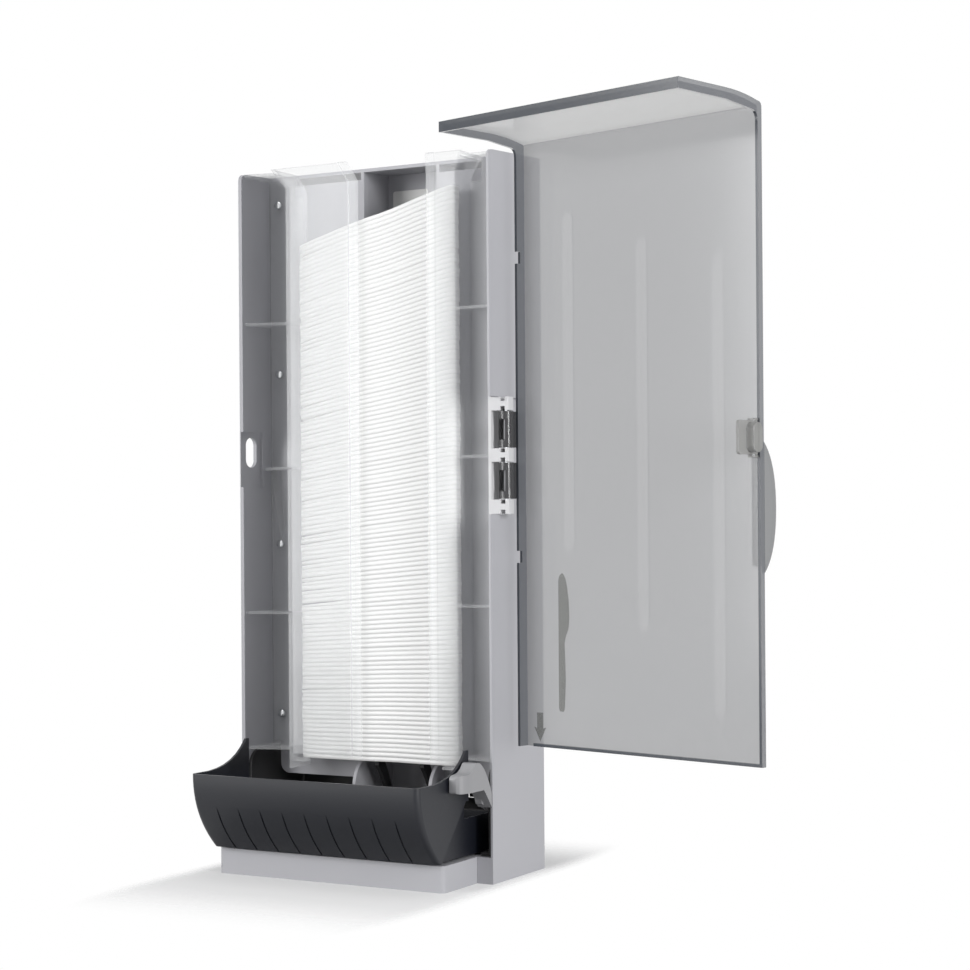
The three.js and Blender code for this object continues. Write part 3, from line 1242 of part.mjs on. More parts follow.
// The torsion spring round the shaft that lifts the lever again.
class CoilCurve extends THREE.Curve {
  getPoint(t) {
    const angle = t * SPRING_TURNS * Math.PI * 2;
    const radius = SHAFT_RADIUS + SPRING_WIRE + SPRING_CLEARANCE;
    return new THREE.Vector3(
      springLeft + t * SPRING_TURNS * SPRING_PITCH,
      SHAFT_Y + radius * Math.cos(angle),
      SHAFT_Z + radius * Math.sin(angle),
    );
  }
}

function returnSpring() {
  const section = new THREE.Shape();
  const sides = 5;
  for (let i = 0; i < sides; i += 1) {
    const angle = (Math.PI * 2 * i) / sides;
    const x = SPRING_WIRE * Math.cos(angle);
    const y = SPRING_WIRE * Math.sin(angle);
    if (i === 0) section.moveTo(x, y);
    else section.lineTo(x, y);
  }
  const geometry = new THREE.ExtrudeGeometry(section, {
    steps: SPRING_TURNS * 10,
    extrudePath: new CoilCurve(),
    bevelEnabled: false,
  });
  const body = solid(geometry);
  return body.volume() < 0 ? solid(flipped(geometry)) : body;
}

// The same geometry with its faces turned round.
function flipped(geometry) {
  const copy = geometry.toNonIndexed();
  const array = copy.attributes.position.array;
  for (let i = 0; i < array.length; i += 9) {
    for (let k = 0; k < 3; k += 1) {
      [array[i + 3 + k], array[i + 6 + k]] = [array[i + 6 + k], array[i + 3 + k]];
    }
  }
  return copy;
}

place("rear_housing", rearHousing(), housingGrey);
place("base_plinth", basePlinth(), housingGrey);
place("mechanism_base", mechanismBase(), mechanismBlack);
place("mechanism_cover", mechanismCover(), mechanismBlack);
place("magazine_left", magazineHalf(-1, LEFT_GAP_EDGE, LEFT_FRONT_BOTTOM, STACK_BLADE_BOTTOM), clear);
place("magazine_right", magazineHalf(1, RIGHT_GAP_EDGE, RIGHT_FRONT_BOTTOM, STACK_HANDLE_BOTTOM), clear);
for (let i = 0; i < SCREW_COUNT; i += 1) {
  const z = SCREW_LOWEST + i * screwPitch;
  place(`magazine_screw_left_${i + 1}`, magazineScrew(-screwX, z), steel);
  place(`magazine_screw_right_${i + 1}`, magazineScrew(screwX, z), steel);
}
place("label_plate", labelPlate(), bushWhite);
place("next_knife", nextKnife(), knifeWhite);
const bundleSize = KNIFE_COUNT / BUNDLE_COUNT;
["lower", "middle", "upper"].forEach((which, i) => {
  const first = Math.max(1, i * bundleSize);
  place(`knife_bundle_${which}`, knifeBundle(first, (i + 1) * bundleSize - 1), knifeWhite);
});
place("hinge_bracket", hingeBracket(), bracketGrey);
pinSpans().forEach((span, i) => {
  place(`hinge_pin_${["lower", "upper"][i]}`, hingePin(span), steel);
});

// The door group turns on the pins. It is built shut and swung open.
const door = new THREE.Group();
door.position.set(pinX, PIN_Y, 0);
door.rotation.z = THREE.MathUtils.degToRad(DOOR_OPEN_ANGLE);
root.add(door);
function placeOnDoor(name, body, finish) {
  place(name, body, finish, door).position.set(-pinX, -PIN_Y, 0);
}
placeOnDoor("door_shell", doorShell(), smoke);
placeOnDoor("door_grip", doorGrip(), smoke);
placeOnDoor("door_hinge_arm_lower", hingeArm(LOWER_ARM_BOTTOM), smoke);
placeOnDoor("door_hinge_arm_upper", hingeArm(UPPER_ARM_BOTTOM), smoke);
pinSpans().forEach((span, i) => {
  placeOnDoor(`hinge_sleeve_${["lower", "upper"][i]}`, hingeSleeve(span), steel);
});
placeOnDoor("latch_bracket", latchBracket(), smoke);
placeOnDoor("latch_pin", latchPin(), steel);
placeOnDoor("door_latch", doorLatch(), smoke);

place("catch_tray", catchTray(), trayBlack);
place("dispensing_lever", dispensingLever(), leverGrey);
place("kicker_shaft", kickerShaft(), steel);
place("kicker_finger_left", kickerFinger(LEFT_FINGER_X), mechanismBlack);
place("kicker_finger_right", kickerFinger(RIGHT_FINGER_X), mechanismBlack);
place("shaft_bush_left", shaftBush(-1), bushWhite);
place("shaft_bush_right", shaftBush(1), bushWhite);
place("return_spring", returnSpring(), steel);

export default root;
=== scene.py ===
"""A tall counter knife dispenser with its smoke-tinted door open, dressed for a product photograph."""
import math
import bpy
import numpy as np
from mathutils import Matrix, Vector


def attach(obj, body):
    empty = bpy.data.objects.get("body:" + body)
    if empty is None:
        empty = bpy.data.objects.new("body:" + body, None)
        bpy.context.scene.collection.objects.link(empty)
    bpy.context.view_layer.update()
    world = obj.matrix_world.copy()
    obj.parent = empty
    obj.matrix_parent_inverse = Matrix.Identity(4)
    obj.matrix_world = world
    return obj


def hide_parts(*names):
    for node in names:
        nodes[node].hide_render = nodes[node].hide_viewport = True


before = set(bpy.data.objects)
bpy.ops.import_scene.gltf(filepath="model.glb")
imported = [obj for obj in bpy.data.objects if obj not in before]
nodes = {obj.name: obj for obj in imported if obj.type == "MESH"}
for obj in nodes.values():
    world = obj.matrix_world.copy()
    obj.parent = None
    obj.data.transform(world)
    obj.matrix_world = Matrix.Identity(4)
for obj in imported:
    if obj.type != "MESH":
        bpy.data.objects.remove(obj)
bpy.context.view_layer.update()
scene = bpy.context.scene
scene.view_settings.view_transform = "Standard"

# The camera stands in front on the right, level with the dispenser's middle, and is turned 29 degrees
# to the left. The photograph was cropped, so the lens is shifted up by a thirtieth of the frame.
camera_place = (0.9745, -1.5211, 0.3053)
sensor_width, focal_length, raised_share = 36.0, 78.02, 0.0312
camera_data = bpy.data.cameras.new("camera")
camera_data.sensor_width = sensor_width
camera_data.lens = focal_length
camera_data.shift_y = raised_share
camera_data.clip_start = 0.05
camera = bpy.data.objects.new("camera", camera_data)
scene.collection.objects.link(camera)
scene.camera = camera
azimuth, pitch, roll = math.radians(29.276), math.radians(0.026), math.radians(-0.409)
forward = Vector((-math.sin(azimuth) * math.cos(pitch), math.cos(azimuth) * math.cos(pitch),
                  math.sin(pitch)))
level_right = Vector((math.cos(azimuth), math.sin(azimuth), 0.0))
level_up = level_right.cross(forward)
right = math.cos(roll) * level_right + math.sin(roll) * level_up
up = right.cross(forward)
turn = Matrix((right, up, -forward)).transposed().to_4x4()
camera.matrix_world = Matrix.Translation(camera_place) @ turn

# The key light stands in front on the left, so that it shines off the clear magazine and leaves the left
# bay in shadow; the side light shows the right wall and the open door, and weaker ones fill in from the
# back and the top. The world looks white to the camera and in reflections but lights gently.
world = bpy.data.worlds.new("studio")
scene.world = world
world.use_nodes = True
sky = world.node_tree
sky.nodes.clear()
sky_out = sky.nodes.new("ShaderNodeOutputWorld")
seen_white = sky.nodes.new("ShaderNodeBackground")
seen_white.inputs["Color"].default_value = (1.0, 1.0, 1.0, 1.0)
seen_white.inputs["Strength"].default_value = 1.0
soft_light = sky.nodes.new("ShaderNodeBackground")
soft_light.inputs["Color"].default_value = (0.97, 0.98, 1.0, 1.0)
soft_light.inputs["Strength"].default_value = 0.3
rays = sky.nodes.new("ShaderNodeLightPath")
either = sky.nodes.new("ShaderNodeMath")
either.operation = "MAXIMUM"
any_of_three = sky.nodes.new("ShaderNodeMath")
any_of_three.operation = "MAXIMUM"
pick = sky.nodes.new("ShaderNodeMixShader")
sky.links.new(rays.outputs["Is Camera Ray"], either.inputs[0])
sky.links.new(rays.outputs["Is Transmission Ray"], either.inputs[1])
sky.links.new(either.outputs[0], any_of_three.inputs[0])
sky.links.new(rays.outputs["Is Glossy Ray"], any_of_three.inputs[1])
sky.links.new(any_of_three.outputs[0], pick.inputs["Fac"])
sky.links.new(soft_light.outputs[0], pick.inputs[1])
sky.links.new(seen_white.outputs[0], pick.inputs[2])
sky.links.new(pick.outputs[0], sky_out.inputs["Surface"])


def softbox(name, place, aim, width, height, power):
    """A rectangular area lamp at a place, turned so that it faces the aim."""
    lamp = bpy.data.lights.new(name, "AREA")
    lamp.shape = "RECTANGLE"
    lamp.size, lamp.size_y = width, height
    lamp.energy = power
    holder = bpy.data.objects.new(name, lamp)
    holder.location = place
    holder.rotation_euler = (Vector(aim) - Vector(place)).to_track_quat("-Z", "Y").to_euler()
    scene.collection.objects.link(holder)
    return holder


key_light = softbox("front_left_softbox", place=(-1.25, -2.0, 0.75), aim=(0.0, 0.0, 0.32),
                    width=1.1, height=1.5, power=36.0)
back_light = softbox("back_right_softbox", place=(2.3, 0.3, 0.7), aim=(0.1, 0.0, 0.3),
                     width=1.0, height=1.4, power=3.0)
top_light = softbox("top_softbox", place=(0.2, -0.4, 2.2), aim=(0.05, 0.0, 0.3),
                    width=1.4, height=1.2, power=10.0)
side_light = softbox("side_softbox", place=(2.25, -0.8, 0.7), aim=(0.1, 0.0, 0.3),
                     width=0.5, height=1.4, power=40.0)

# As in a studio, a narrow flag beside the magazine keeps the side light off the left bay. It is unseen,
# and it shades none of the other lamps.
flag_x, flag_front, flag_back, flag_foot, flag_top = -0.0885, -0.05, 0.042, 0.09, 0.63
flag_corners = [(flag_x, flag_front, flag_foot), (flag_x, flag_back, flag_foot),
                (flag_x, flag_back, flag_top), (flag_x, flag_front, flag_top)]
flag_mesh = bpy.data.meshes.new("side_light_flag")
flag_mesh.from_pydata(flag_corners, [], [(0, 1, 2, 3)])
flag = bpy.data.objects.new("side_light_flag", flag_mesh)
scene.collection.objects.link(flag)
flag.visible_camera = False
flag.visible_diffuse = False
flag.visible_glossy = False
flag.visible_transmission = False
for lamp_holder in (key_light, back_light, top_light):
    lit_past_flag = bpy.data.collections.new(f"{lamp_holder.name}_blockers")
    lit_past_flag.objects.link(flag)
    lit_past_flag.collection_objects[0].light_linking.link_state = "EXCLUDE"
    lamp_holder.light_linking.blocker_collection = lit_past_flag

# The smoke-tinted plastic is see-through, so the side light passes the open door on its way to the
# right wall. The door still shades that wall from the other lamps.
lit_past_door = bpy.data.collections.new("side_softbox_blockers")
lit_past_door.objects.link(nodes["door_shell"])
lit_past_door.collection_objects[0].light_linking.link_state = "EXCLUDE"
side_light.light_linking.blocker_collection = lit_past_door

# The floor is a sheet of white paper that takes the dispenser's shadow. It fades out into the white
# around the foot, sooner at the sides than in front, and glows a little for the camera alone.
floor_reach = 6.0
foot_half_size = (0.12, 0.1, 0.0)
fade_start, fade_end, fade_narrowing = 0.01, 0.15, 5.0
paper_shade, paper_glow = 0.62, 0.26
floor_corners = [(-floor_reach, -floor_reach, 0.0), (floor_reach, -floor_reach, 0.0),
                 (floor_reach, floor_reach, 0.0), (-floor_reach, floor_reach, 0.0)]
floor_mesh = bpy.data.meshes.new("floor")
floor_mesh.from_pydata(floor_corners, [], [(0, 1, 2, 3)])
floor = bpy.data.objects.new("floor", floor_mesh)
scene.collection.objects.link(floor)
paper = bpy.data.materials.new("white_paper")
paper.use_nodes = True
sheet = paper.node_tree
sheet.nodes.clear()
sheet_out = sheet.nodes.new("ShaderNodeOutputMaterial")
matte = sheet.nodes.new("ShaderNodeBsdfDiffuse")
matte.inputs["Color"].default_value = (paper_shade, paper_shade, paper_shade, 1.0)
spot = sheet.nodes.new("ShaderNodeTexCoord")
from_middle = sheet.nodes.new("ShaderNodeVectorMath")
from_middle.operation = "ABSOLUTE"
past_foot = sheet.nodes.new("ShaderNodeVectorMath")
past_foot.operation = "SUBTRACT"
past_foot.inputs[1].default_value = foot_half_size
outside = sheet.nodes.new("ShaderNodeVectorMath")
outside.operation = "MAXIMUM"
outside.inputs[1].default_value = (0.0, 0.0, 0.0)
narrower_sideways = sheet.nodes.new("ShaderNodeVectorMath")
narrower_sideways.operation = "MULTIPLY"
narrower_sideways.inputs[1].default_value = (fade_narrowing, 1.0, 1.0)
far = sheet.nodes.new("ShaderNodeVectorMath")
far.operation = "LENGTH"
fade = sheet.nodes.new("ShaderNodeMapRange")
fade.interpolation_type = "SMOOTHSTEP"
fade.inputs["From Min"].default_value = fade_start
fade.inputs["From Max"].default_value = fade_end
clear_far = sheet.nodes.new("ShaderNodeBsdfTransparent")
sheet_fade = sheet.nodes.new("ShaderNodeMixShader")
glow = sheet.nodes.new("ShaderNodeEmission")
sheet_rays = sheet.nodes.new("ShaderNodeLightPath")
glow_level = sheet.nodes.new("ShaderNodeMath")
glow_level.operation = "MULTIPLY"
glow_level.inputs[1].default_value = paper_glow
sheet_sum = sheet.nodes.new("ShaderNodeAddShader")
sheet.links.new(sheet_rays.outputs["Is Camera Ray"], glow_level.inputs[0])
sheet.links.new(glow_level.outputs[0], glow.inputs["Strength"])
sheet.links.new(matte.outputs[0], sheet_sum.inputs[0])
sheet.links.new(glow.outputs[0], sheet_sum.inputs[1])
sheet.links.new(spot.outputs["Object"], from_middle.inputs[0])
sheet.links.new(from_middle.outputs[0], past_foot.inputs[0])
sheet.links.new(past_foot.outputs[0], outside.inputs[0])
sheet.links.new(outside.outputs[0], narrower_sideways.inputs[0])
sheet.links.new(narrower_sideways.outputs[0], far.inputs[0])
sheet.links.new(far.outputs["Value"], fade.inputs["Value"])
sheet.links.new(fade.outputs["Result"], sheet_fade.inputs["Fac"])
sheet.links.new(sheet_sum.outputs[0], sheet_fade.inputs[1])
sheet.links.new(clear_far.outputs[0], sheet_fade.inputs[2])
sheet.links.new(sheet_fade.outputs[0], sheet_out.inputs["Surface"])
floor_mesh.materials.append(paper)

# The rear housing is one injection moulding in light grey ABS with a fine spark-eroded grain: side
# walls, a stepped plate, the recess behind the knives and a roof strip. Its edges are slightly rounded.


def build_moulded_grain():
    """A shader group for grained plastic. Colour is the given one times 1 + mottle x (slow noise - 0.5),
    roughness is the given one + 0.12 x fine noise, and the fine noise is the height for the bump."""
    group = bpy.data.node_groups.new("moulded_grain", "ShaderNodeTree")
    face = group.interface
    face.new_socket("Color", in_out="INPUT", socket_type="NodeSocketColor")
    face.new_socket("Grain Scale", in_out="INPUT", socket_type="NodeSocketFloat")
    face.new_socket("Mottle", in_out="INPUT", socket_type="NodeSocketFloat")
    face.new_socket("Roughness", in_out="INPUT", socket_type="NodeSocketFloat")
    face.new_socket("Color", in_out="OUTPUT", socket_type="NodeSocketColor")
    face.new_socket("Roughness", in_out="OUTPUT", socket_type="NodeSocketFloat")
    face.new_socket("Height", in_out="OUTPUT", socket_type="NodeSocketFloat")
    enter = group.nodes.new("NodeGroupInput")
    leave = group.nodes.new("NodeGroupOutput")
    where = group.nodes.new("ShaderNodeTexCoord")
    grain = group.nodes.new("ShaderNodeTexNoise")
    grain.inputs["Detail"].default_value = 3.0
    grain.inputs["Roughness"].default_value = 0.65
    cloud = group.nodes.new("ShaderNodeTexNoise")
    cloud.inputs["Scale"].default_value = 14.0
    cloud.inputs["Detail"].default_value = 4.0
    group.links.new(where.outputs["Object"], grain.inputs["Vector"])
    group.links.new(where.outputs["Object"], cloud.inputs["Vector"])
    group.links.new(enter.outputs["Grain Scale"], grain.inputs["Scale"])
    centred = group.nodes.new("ShaderNodeMath")
    centred.operation = "SUBTRACT"
    centred.inputs[1].default_value = 0.5
    swing = group.nodes.new("ShaderNodeMath")
    swing.operation = "MULTIPLY"
    one_plus = group.nodes.new("ShaderNodeMath")
    one_plus.operation = "ADD"
    one_plus.inputs[1].default_value = 1.0
    tinted = group.nodes.new("ShaderNodeVectorMath")
    tinted.operation = "SCALE"
    rougher = group.nodes.new("ShaderNodeMath")
    rougher.operation = "MULTIPLY_ADD"
    rougher.inputs[1].default_value = 0.12
    group.links.new(cloud.outputs["Fac"], centred.inputs[0])
    group.links.new(centred.outputs[0], swing.inputs[0])
    group.links.new(enter.outputs["Mottle"], swing.inputs[1])
    group.links.new(swing.outputs[0], one_plus.inputs[0])
    group.links.new(enter.outputs["Color"], tinted.inputs[0])
    group.links.new(one_plus.outputs[0], tinted.inputs["Scale"])
    group.links.new(grain.outputs["Fac"], rougher.inputs[0])
    group.links.new(enter.outputs["Roughness"], rougher.inputs[2])
    group.links.new(tinted.outputs[0], leave.inputs["Color"])
    group.links.new(rougher.outputs[0], leave.inputs["Roughness"])
    group.links.new(grain.outputs["Fac"], leave.inputs["Height"])
    return group


moulded_grain = build_moulded_grain()


def grained_plastic(name, color, roughness, grain_scale=900.0, grain_depth=0.00005, mottle=0.05):
    """An opaque moulded plastic whose colour, roughness and bump come from the moulded grain."""
    material = bpy.data.materials.new(name)
    material.use_nodes = True
    tree = material.node_tree
    shader = tree.nodes["Principled BSDF"]
    grain = tree.nodes.new("ShaderNodeGroup")
    grain.node_tree = moulded_grain
    grain.inputs["Color"].default_value = (*color, 1.0)
    grain.inputs["Grain Scale"].default_value = grain_scale
    grain.inputs["Mottle"].default_value = mottle
    grain.inputs["Roughness"].default_value = roughness
    bump = tree.nodes.new("ShaderNodeBump")
    bump.inputs["Distance"].default_value = grain_depth
    bump.inputs["Strength"].default_value = 0.6
    tree.links.new(grain.outputs["Color"], shader.inputs["Base Color"])
    tree.links.new(grain.outputs["Roughness"], shader.inputs["Roughness"])
    tree.links.new(grain.outputs["Height"], bump.inputs["Height"])
    tree.links.new(bump.outputs["Normal"], shader.inputs["Normal"])
    return material


def finish_node(name, material, edge=0.0004, steps=2, angle=35.0):
    """Gives a CAD node its material and rounds its sharp edges by a bevel of the given width."""
    node = nodes[name]
    node.data.materials.clear()
    node.data.materials.append(material)
    node.data.polygons.foreach_set("use_smooth", np.ones(len(node.data.polygons), bool))
    node.data.polygons.foreach_set("material_index", np.zeros(len(node.data.polygons), np.int32))
    weld = node.modifiers.new("weld", "WELD")
    weld.merge_threshold = 0.000002
    if edge:
        bevel = node.modifiers.new("rounded_edges", "BEVEL")
        bevel.width = edge
        bevel.segments = steps
        bevel.limit_method = "ANGLE"
        bevel.angle_limit = math.radians(angle)
        bevel.use_clamp_overlap = True
    even = node.modifiers.new("even_shading", "WEIGHTED_NORMAL")
    even.keep_sharp = False
    return node


housing_plastic = grained_plastic("housing_plastic", color=(0.43, 0.43, 0.455), roughness=0.42)
finish_node("rear_housing", housing_plastic, edge=0.0005)

# The base plinth is moulded in the same grey and reaches out in front under the tray. It carries the
# dispenser's weight on the counter and keeps the tall housing from tipping forwards.
plinth_plastic = grained_plastic("plinth_plastic", color=(0.43, 0.43, 0.455), roughness=0.44)
finish_node("base_plinth", plinth_plastic, edge=0.0009, steps=3)

# The mechanism base and its cover are black mouldings fixed in the foot of the housing: cheeks beside
# the tray, a back wall and two posts that carry the shaft.
mechanism_plastic = grained_plastic("mechanism_plastic", color=(0.016, 0.016, 0.017), roughness=0.5,
                                    mottle=0.12)
finish_node("mechanism_base", mechanism_plastic)
finish_node("mechanism_cover", mechanism_plastic)

# A thin black apron on each side of the recess stands just above the mechanism's back wall, so that no
# light comes through under the stepped plate.
apron_back, apron_thickness = 0.0876, 0.001
apron_foot, apron_top = 0.0583, 0.0995


def new_piece(name, vertices, faces, material, body, smooth=True):
    """A mesh object at the origin that rides on a body."""
    mesh = bpy.data.meshes.new(name)
    mesh.from_pydata(np.asarray(vertices).reshape(-1, 3).tolist(), [], faces)
    mesh.validate()
    mesh.polygons.foreach_set("use_smooth", np.full(len(mesh.polygons), smooth))
    mesh.materials.append(material)
    piece = bpy.data.objects.new(name, mesh)
    scene.collection.objects.link(piece)
    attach(piece, body)
    return piece


def box_corners(low, high):
    """The eight corners of a box, the low z face first, each face counter-clockwise from above."""
    (x0, y0, z0), (x1, y1, z1) = low, high
    return [(x0, y0, z0), (x1, y0, z0), (x1, y1, z0), (x0, y1, z0),
            (x0, y0, z1), (x1, y0, z1), (x1, y1, z1), (x0, y1, z1)]


box_faces = [(0, 3, 2, 1), (4, 5, 6, 7), (0, 1, 5, 4), (1, 2, 6, 5), (2, 3, 7, 6), (3, 0, 4, 7)]
for side, left_end, right_end in (("left", -0.1198, -0.0285), ("right", 0.0555, 0.1198)):
    low = (left_end, apron_back - apron_thickness, apron_foot)
    high = (right_end, apron_back, apron_top)
    new_piece(f"mechanism_apron_{side}", box_corners(low, high), box_faces, mechanism_plastic, "housing",
              smooth=False)

# The hinge bracket is a paler moulding clipped into the right wall, with three lugs that carry the pins
# in square notches.
bracket_plastic = grained_plastic("bracket_plastic", color=(0.62, 0.62, 0.63), roughness=0.4)
finish_node("hinge_bracket", bracket_plastic, edge=0.0003)

# The hinge pins are drawn steel, zinc plated, and sit fast in the bracket's notches. The sleeves that
# turn round them are rolled from steel strip and carry the door's arms; their dark colour is painted shade
# for the shadow in the notches.


def plated_steel(name, color, roughness):
    """Plated steel: metallic, with colour, roughness and a hair of bump from the moulded grain."""
    material = bpy.data.materials.new(name)
    material.use_nodes = True
    tree = material.node_tree
    shader = tree.nodes["Principled BSDF"]
    shader.inputs["Metallic"].default_value = 1.0
    grain = tree.nodes.new("ShaderNodeGroup")
    grain.node_tree = moulded_grain
    grain.inputs["Color"].default_value = (*color, 1.0)
    grain.inputs["Grain Scale"].default_value = 1600.0
    grain.inputs["Mottle"].default_value = 0.15
    grain.inputs["Roughness"].default_value = roughness
    bump = tree.nodes.new("ShaderNodeBump")
    bump.inputs["Distance"].default_value = 0.00002
    bump.inputs["Strength"].default_value = 0.4
    tree.links.new(grain.outputs["Color"], shader.inputs["Base Color"])
    tree.links.new(grain.outputs["Roughness"], shader.inputs["Roughness"])
    tree.links.new(grain.outputs["Height"], bump.inputs["Height"])
    tree.links.new(bump.outputs["Normal"], shader.inputs["Normal"])
    return material


pin_steel = plated_steel("pin_steel", color=(0.62, 0.63, 0.65), roughness=0.22)
# Painted shade: the sleeves' near-black colour stands in for the shadow in the bracket's notches.
sleeve_steel = plated_steel("sleeve_steel", color=(0.11, 0.11, 0.115), roughness=0.4)
for which in ("lower", "upper"):
    finish_node(f"hinge_pin_{which}", pin_steel, edge=0.0002)
    finish_node(f"hinge_sleeve_{which}", sleeve_steel, edge=0.0002)

# The magazine halves are clear polystyrene mouldings screwed to the housing's plate. They keep the
# stack in line; edges that are seen through their length look milky and brighter.


def build_clear_sheet():
    """A shader group for see-through plastic. Alpha goes from clear to clouded with the angle of view
    and is at least the film's on faces that point to the front or back. Level faces, such as a roof,
    take a tint of their own that is painted light, and every face gets a painted glow, stronger on level
    faces, that goes to the emission. Slow noise is the height of faint waves."""
    group = bpy.data.node_groups.new("clear_sheet_painted_light", "ShaderNodeTree")
    face = group.interface
    face.new_socket("Clear", in_out="INPUT", socket_type="NodeSocketFloat")
    face.new_socket("Clouded", in_out="INPUT", socket_type="NodeSocketFloat")
    face.new_socket("Facing", in_out="INPUT", socket_type="NodeSocketFloat")
    face.new_socket("Film", in_out="INPUT", socket_type="NodeSocketFloat")
    face.new_socket("Tint", in_out="INPUT", socket_type="NodeSocketColor")
    face.new_socket("Level Painted Light", in_out="INPUT", socket_type="NodeSocketColor")
    face.new_socket("Painted Glow", in_out="INPUT", socket_type="NodeSocketFloat")
    face.new_socket("Level Painted Glow", in_out="INPUT", socket_type="NodeSocketFloat")
    face.new_socket("Color", in_out="OUTPUT", socket_type="NodeSocketColor")
    face.new_socket("Painted Glow", in_out="OUTPUT", socket_type="NodeSocketColor")
    face.new_socket("Alpha", in_out="OUTPUT", socket_type="NodeSocketFloat")
    face.new_socket("Height", in_out="OUTPUT", socket_type="NodeSocketFloat")
    enter = group.nodes.new("NodeGroupInput")
    leave = group.nodes.new("NodeGroupOutput")
    where = group.nodes.new("ShaderNodeTexCoord")
    waves = group.nodes.new("ShaderNodeTexNoise")
    waves.inputs["Scale"].default_value = 9.0
    waves.inputs["Detail"].default_value = 2.0
    blend = group.nodes.new("ShaderNodeMix")
    blend.data_type = "FLOAT"
    towards = group.nodes.new("ShaderNodeSeparateXYZ")
    either_way = group.nodes.new("ShaderNodeMath")
    either_way.operation = "ABSOLUTE"
    front_face = group.nodes.new("ShaderNodeMapRange")
    front_face.inputs["From Min"].default_value = 0.75
    front_face.inputs["From Max"].default_value = 0.97
    filmed = group.nodes.new("ShaderNodeMath")
    filmed.operation = "MULTIPLY"
    denser = group.nodes.new("ShaderNodeMath")
    denser.operation = "MAXIMUM"
    group.links.new(where.outputs["Normal"], towards.inputs[0])
    group.links.new(towards.outputs["Y"], either_way.inputs[0])
    group.links.new(either_way.outputs[0], front_face.inputs["Value"])
    group.links.new(front_face.outputs["Result"], filmed.inputs[0])
    group.links.new(enter.outputs["Film"], filmed.inputs[1])
    group.links.new(filmed.outputs[0], denser.inputs[1])
    up_or_down = group.nodes.new("ShaderNodeMath")
    up_or_down.operation = "ABSOLUTE"
    level_face = group.nodes.new("ShaderNodeMapRange")
    level_face.inputs["From Min"].default_value = 0.75
    level_face.inputs["From Max"].default_value = 0.95
    # Painted light: level faces take the paler level tint, and the glow rises from the panel's strength to
    # the level faces' strength.
    shade = group.nodes.new("ShaderNodeMix")
    shade.data_type = "RGBA"
    painted_glow = group.nodes.new("ShaderNodeMapRange")
    group.links.new(towards.outputs["Z"], up_or_down.inputs[0])
    group.links.new(up_or_down.outputs[0], level_face.inputs["Value"])
    group.links.new(level_face.outputs["Result"], shade.inputs[0])
    group.links.new(enter.outputs["Tint"], shade.inputs[6])
    group.links.new(enter.outputs["Level Painted Light"], shade.inputs[7])
    group.links.new(shade.outputs[2], leave.inputs["Color"])
    group.links.new(level_face.outputs["Result"], painted_glow.inputs["Value"])
    group.links.new(enter.outputs["Painted Glow"], painted_glow.inputs["To Min"])
    group.links.new(enter.outputs["Level Painted Glow"], painted_glow.inputs["To Max"])
    group.links.new(painted_glow.outputs["Result"], leave.inputs["Painted Glow"])
    group.links.new(where.outputs["Object"], waves.inputs["Vector"])
    group.links.new(enter.outputs["Facing"], blend.inputs["Factor"])
    group.links.new(enter.outputs["Clear"], blend.inputs["A"])
    group.links.new(enter.outputs["Clouded"], blend.inputs["B"])
    group.links.new(blend.outputs["Result"], denser.inputs[0])
    group.links.new(denser.outputs[0], leave.inputs["Alpha"])
    group.links.new(waves.outputs["Fac"], leave.inputs["Height"])
    return group


clear_sheet_painted_light = build_clear_sheet()


def see_through_plastic(name, color, clear, clouded, roughness, painted_glow=0.0, film=0.0, level=None,
                        level_painted_glow=0.0):
    """Tinted see-through plastic: alpha rises from clear, seen square on, to clouded at a glance. All faces
    take a painted glow, level faces a painted light colour and a stronger painted glow of their own, and
    film is the least alpha of front faces."""
    material = bpy.data.materials.new(name)
    material.use_nodes = True
    tree = material.node_tree
    shader = tree.nodes["Principled BSDF"]
    shader.inputs["Roughness"].default_value = roughness
    shader.inputs["IOR"].default_value = 1.5
    # The emission carries the painted glow: light that no lamp gives.
    shader.inputs["Emission Strength"].default_value = 1.0
    facing = tree.nodes.new("ShaderNodeLayerWeight")
    facing.inputs["Blend"].default_value = 0.35
    sheet_painted_light = tree.nodes.new("ShaderNodeGroup")
    sheet_painted_light.node_tree = clear_sheet_painted_light
    sheet_painted_light.inputs["Clear"].default_value = clear
    sheet_painted_light.inputs["Clouded"].default_value = clouded
    sheet_painted_light.inputs["Film"].default_value = film
    sheet_painted_light.inputs["Tint"].default_value = (*color, 1.0)
    sheet_painted_light.inputs["Level Painted Light"].default_value = (*(level or color), 1.0)
    sheet_painted_light.inputs["Painted Glow"].default_value = painted_glow
    sheet_painted_light.inputs["Level Painted Glow"].default_value = max(painted_glow, level_painted_glow)
    bump = tree.nodes.new("ShaderNodeBump")
    bump.inputs["Distance"].default_value = 0.0006
    bump.inputs["Strength"].default_value = 0.25
    tree.links.new(facing.outputs["Facing"], sheet_painted_light.inputs["Facing"])
    tree.links.new(sheet_painted_light.outputs["Color"], shader.inputs["Base Color"])
    tree.links.new(sheet_painted_light.outputs["Painted Glow"], shader.inputs["Emission Color"])
    tree.links.new(sheet_painted_light.outputs["Alpha"], shader.inputs["Alpha"])
    tree.links.new(sheet_painted_light.outputs["Height"], bump.inputs["Height"])
    tree.links.new(bump.outputs["Normal"], shader.inputs["Normal"])
    return material


clear_styrene = see_through_plastic("clear_styrene", color=(0.9, 0.91, 0.92), clear=0.1, clouded=0.5,
                                    roughness=0.12, film=0.19)
finish_node("magazine_left", clear_styrene, edge=0.0004)
finish_node("magazine_right", clear_styrene, edge=0.0004)

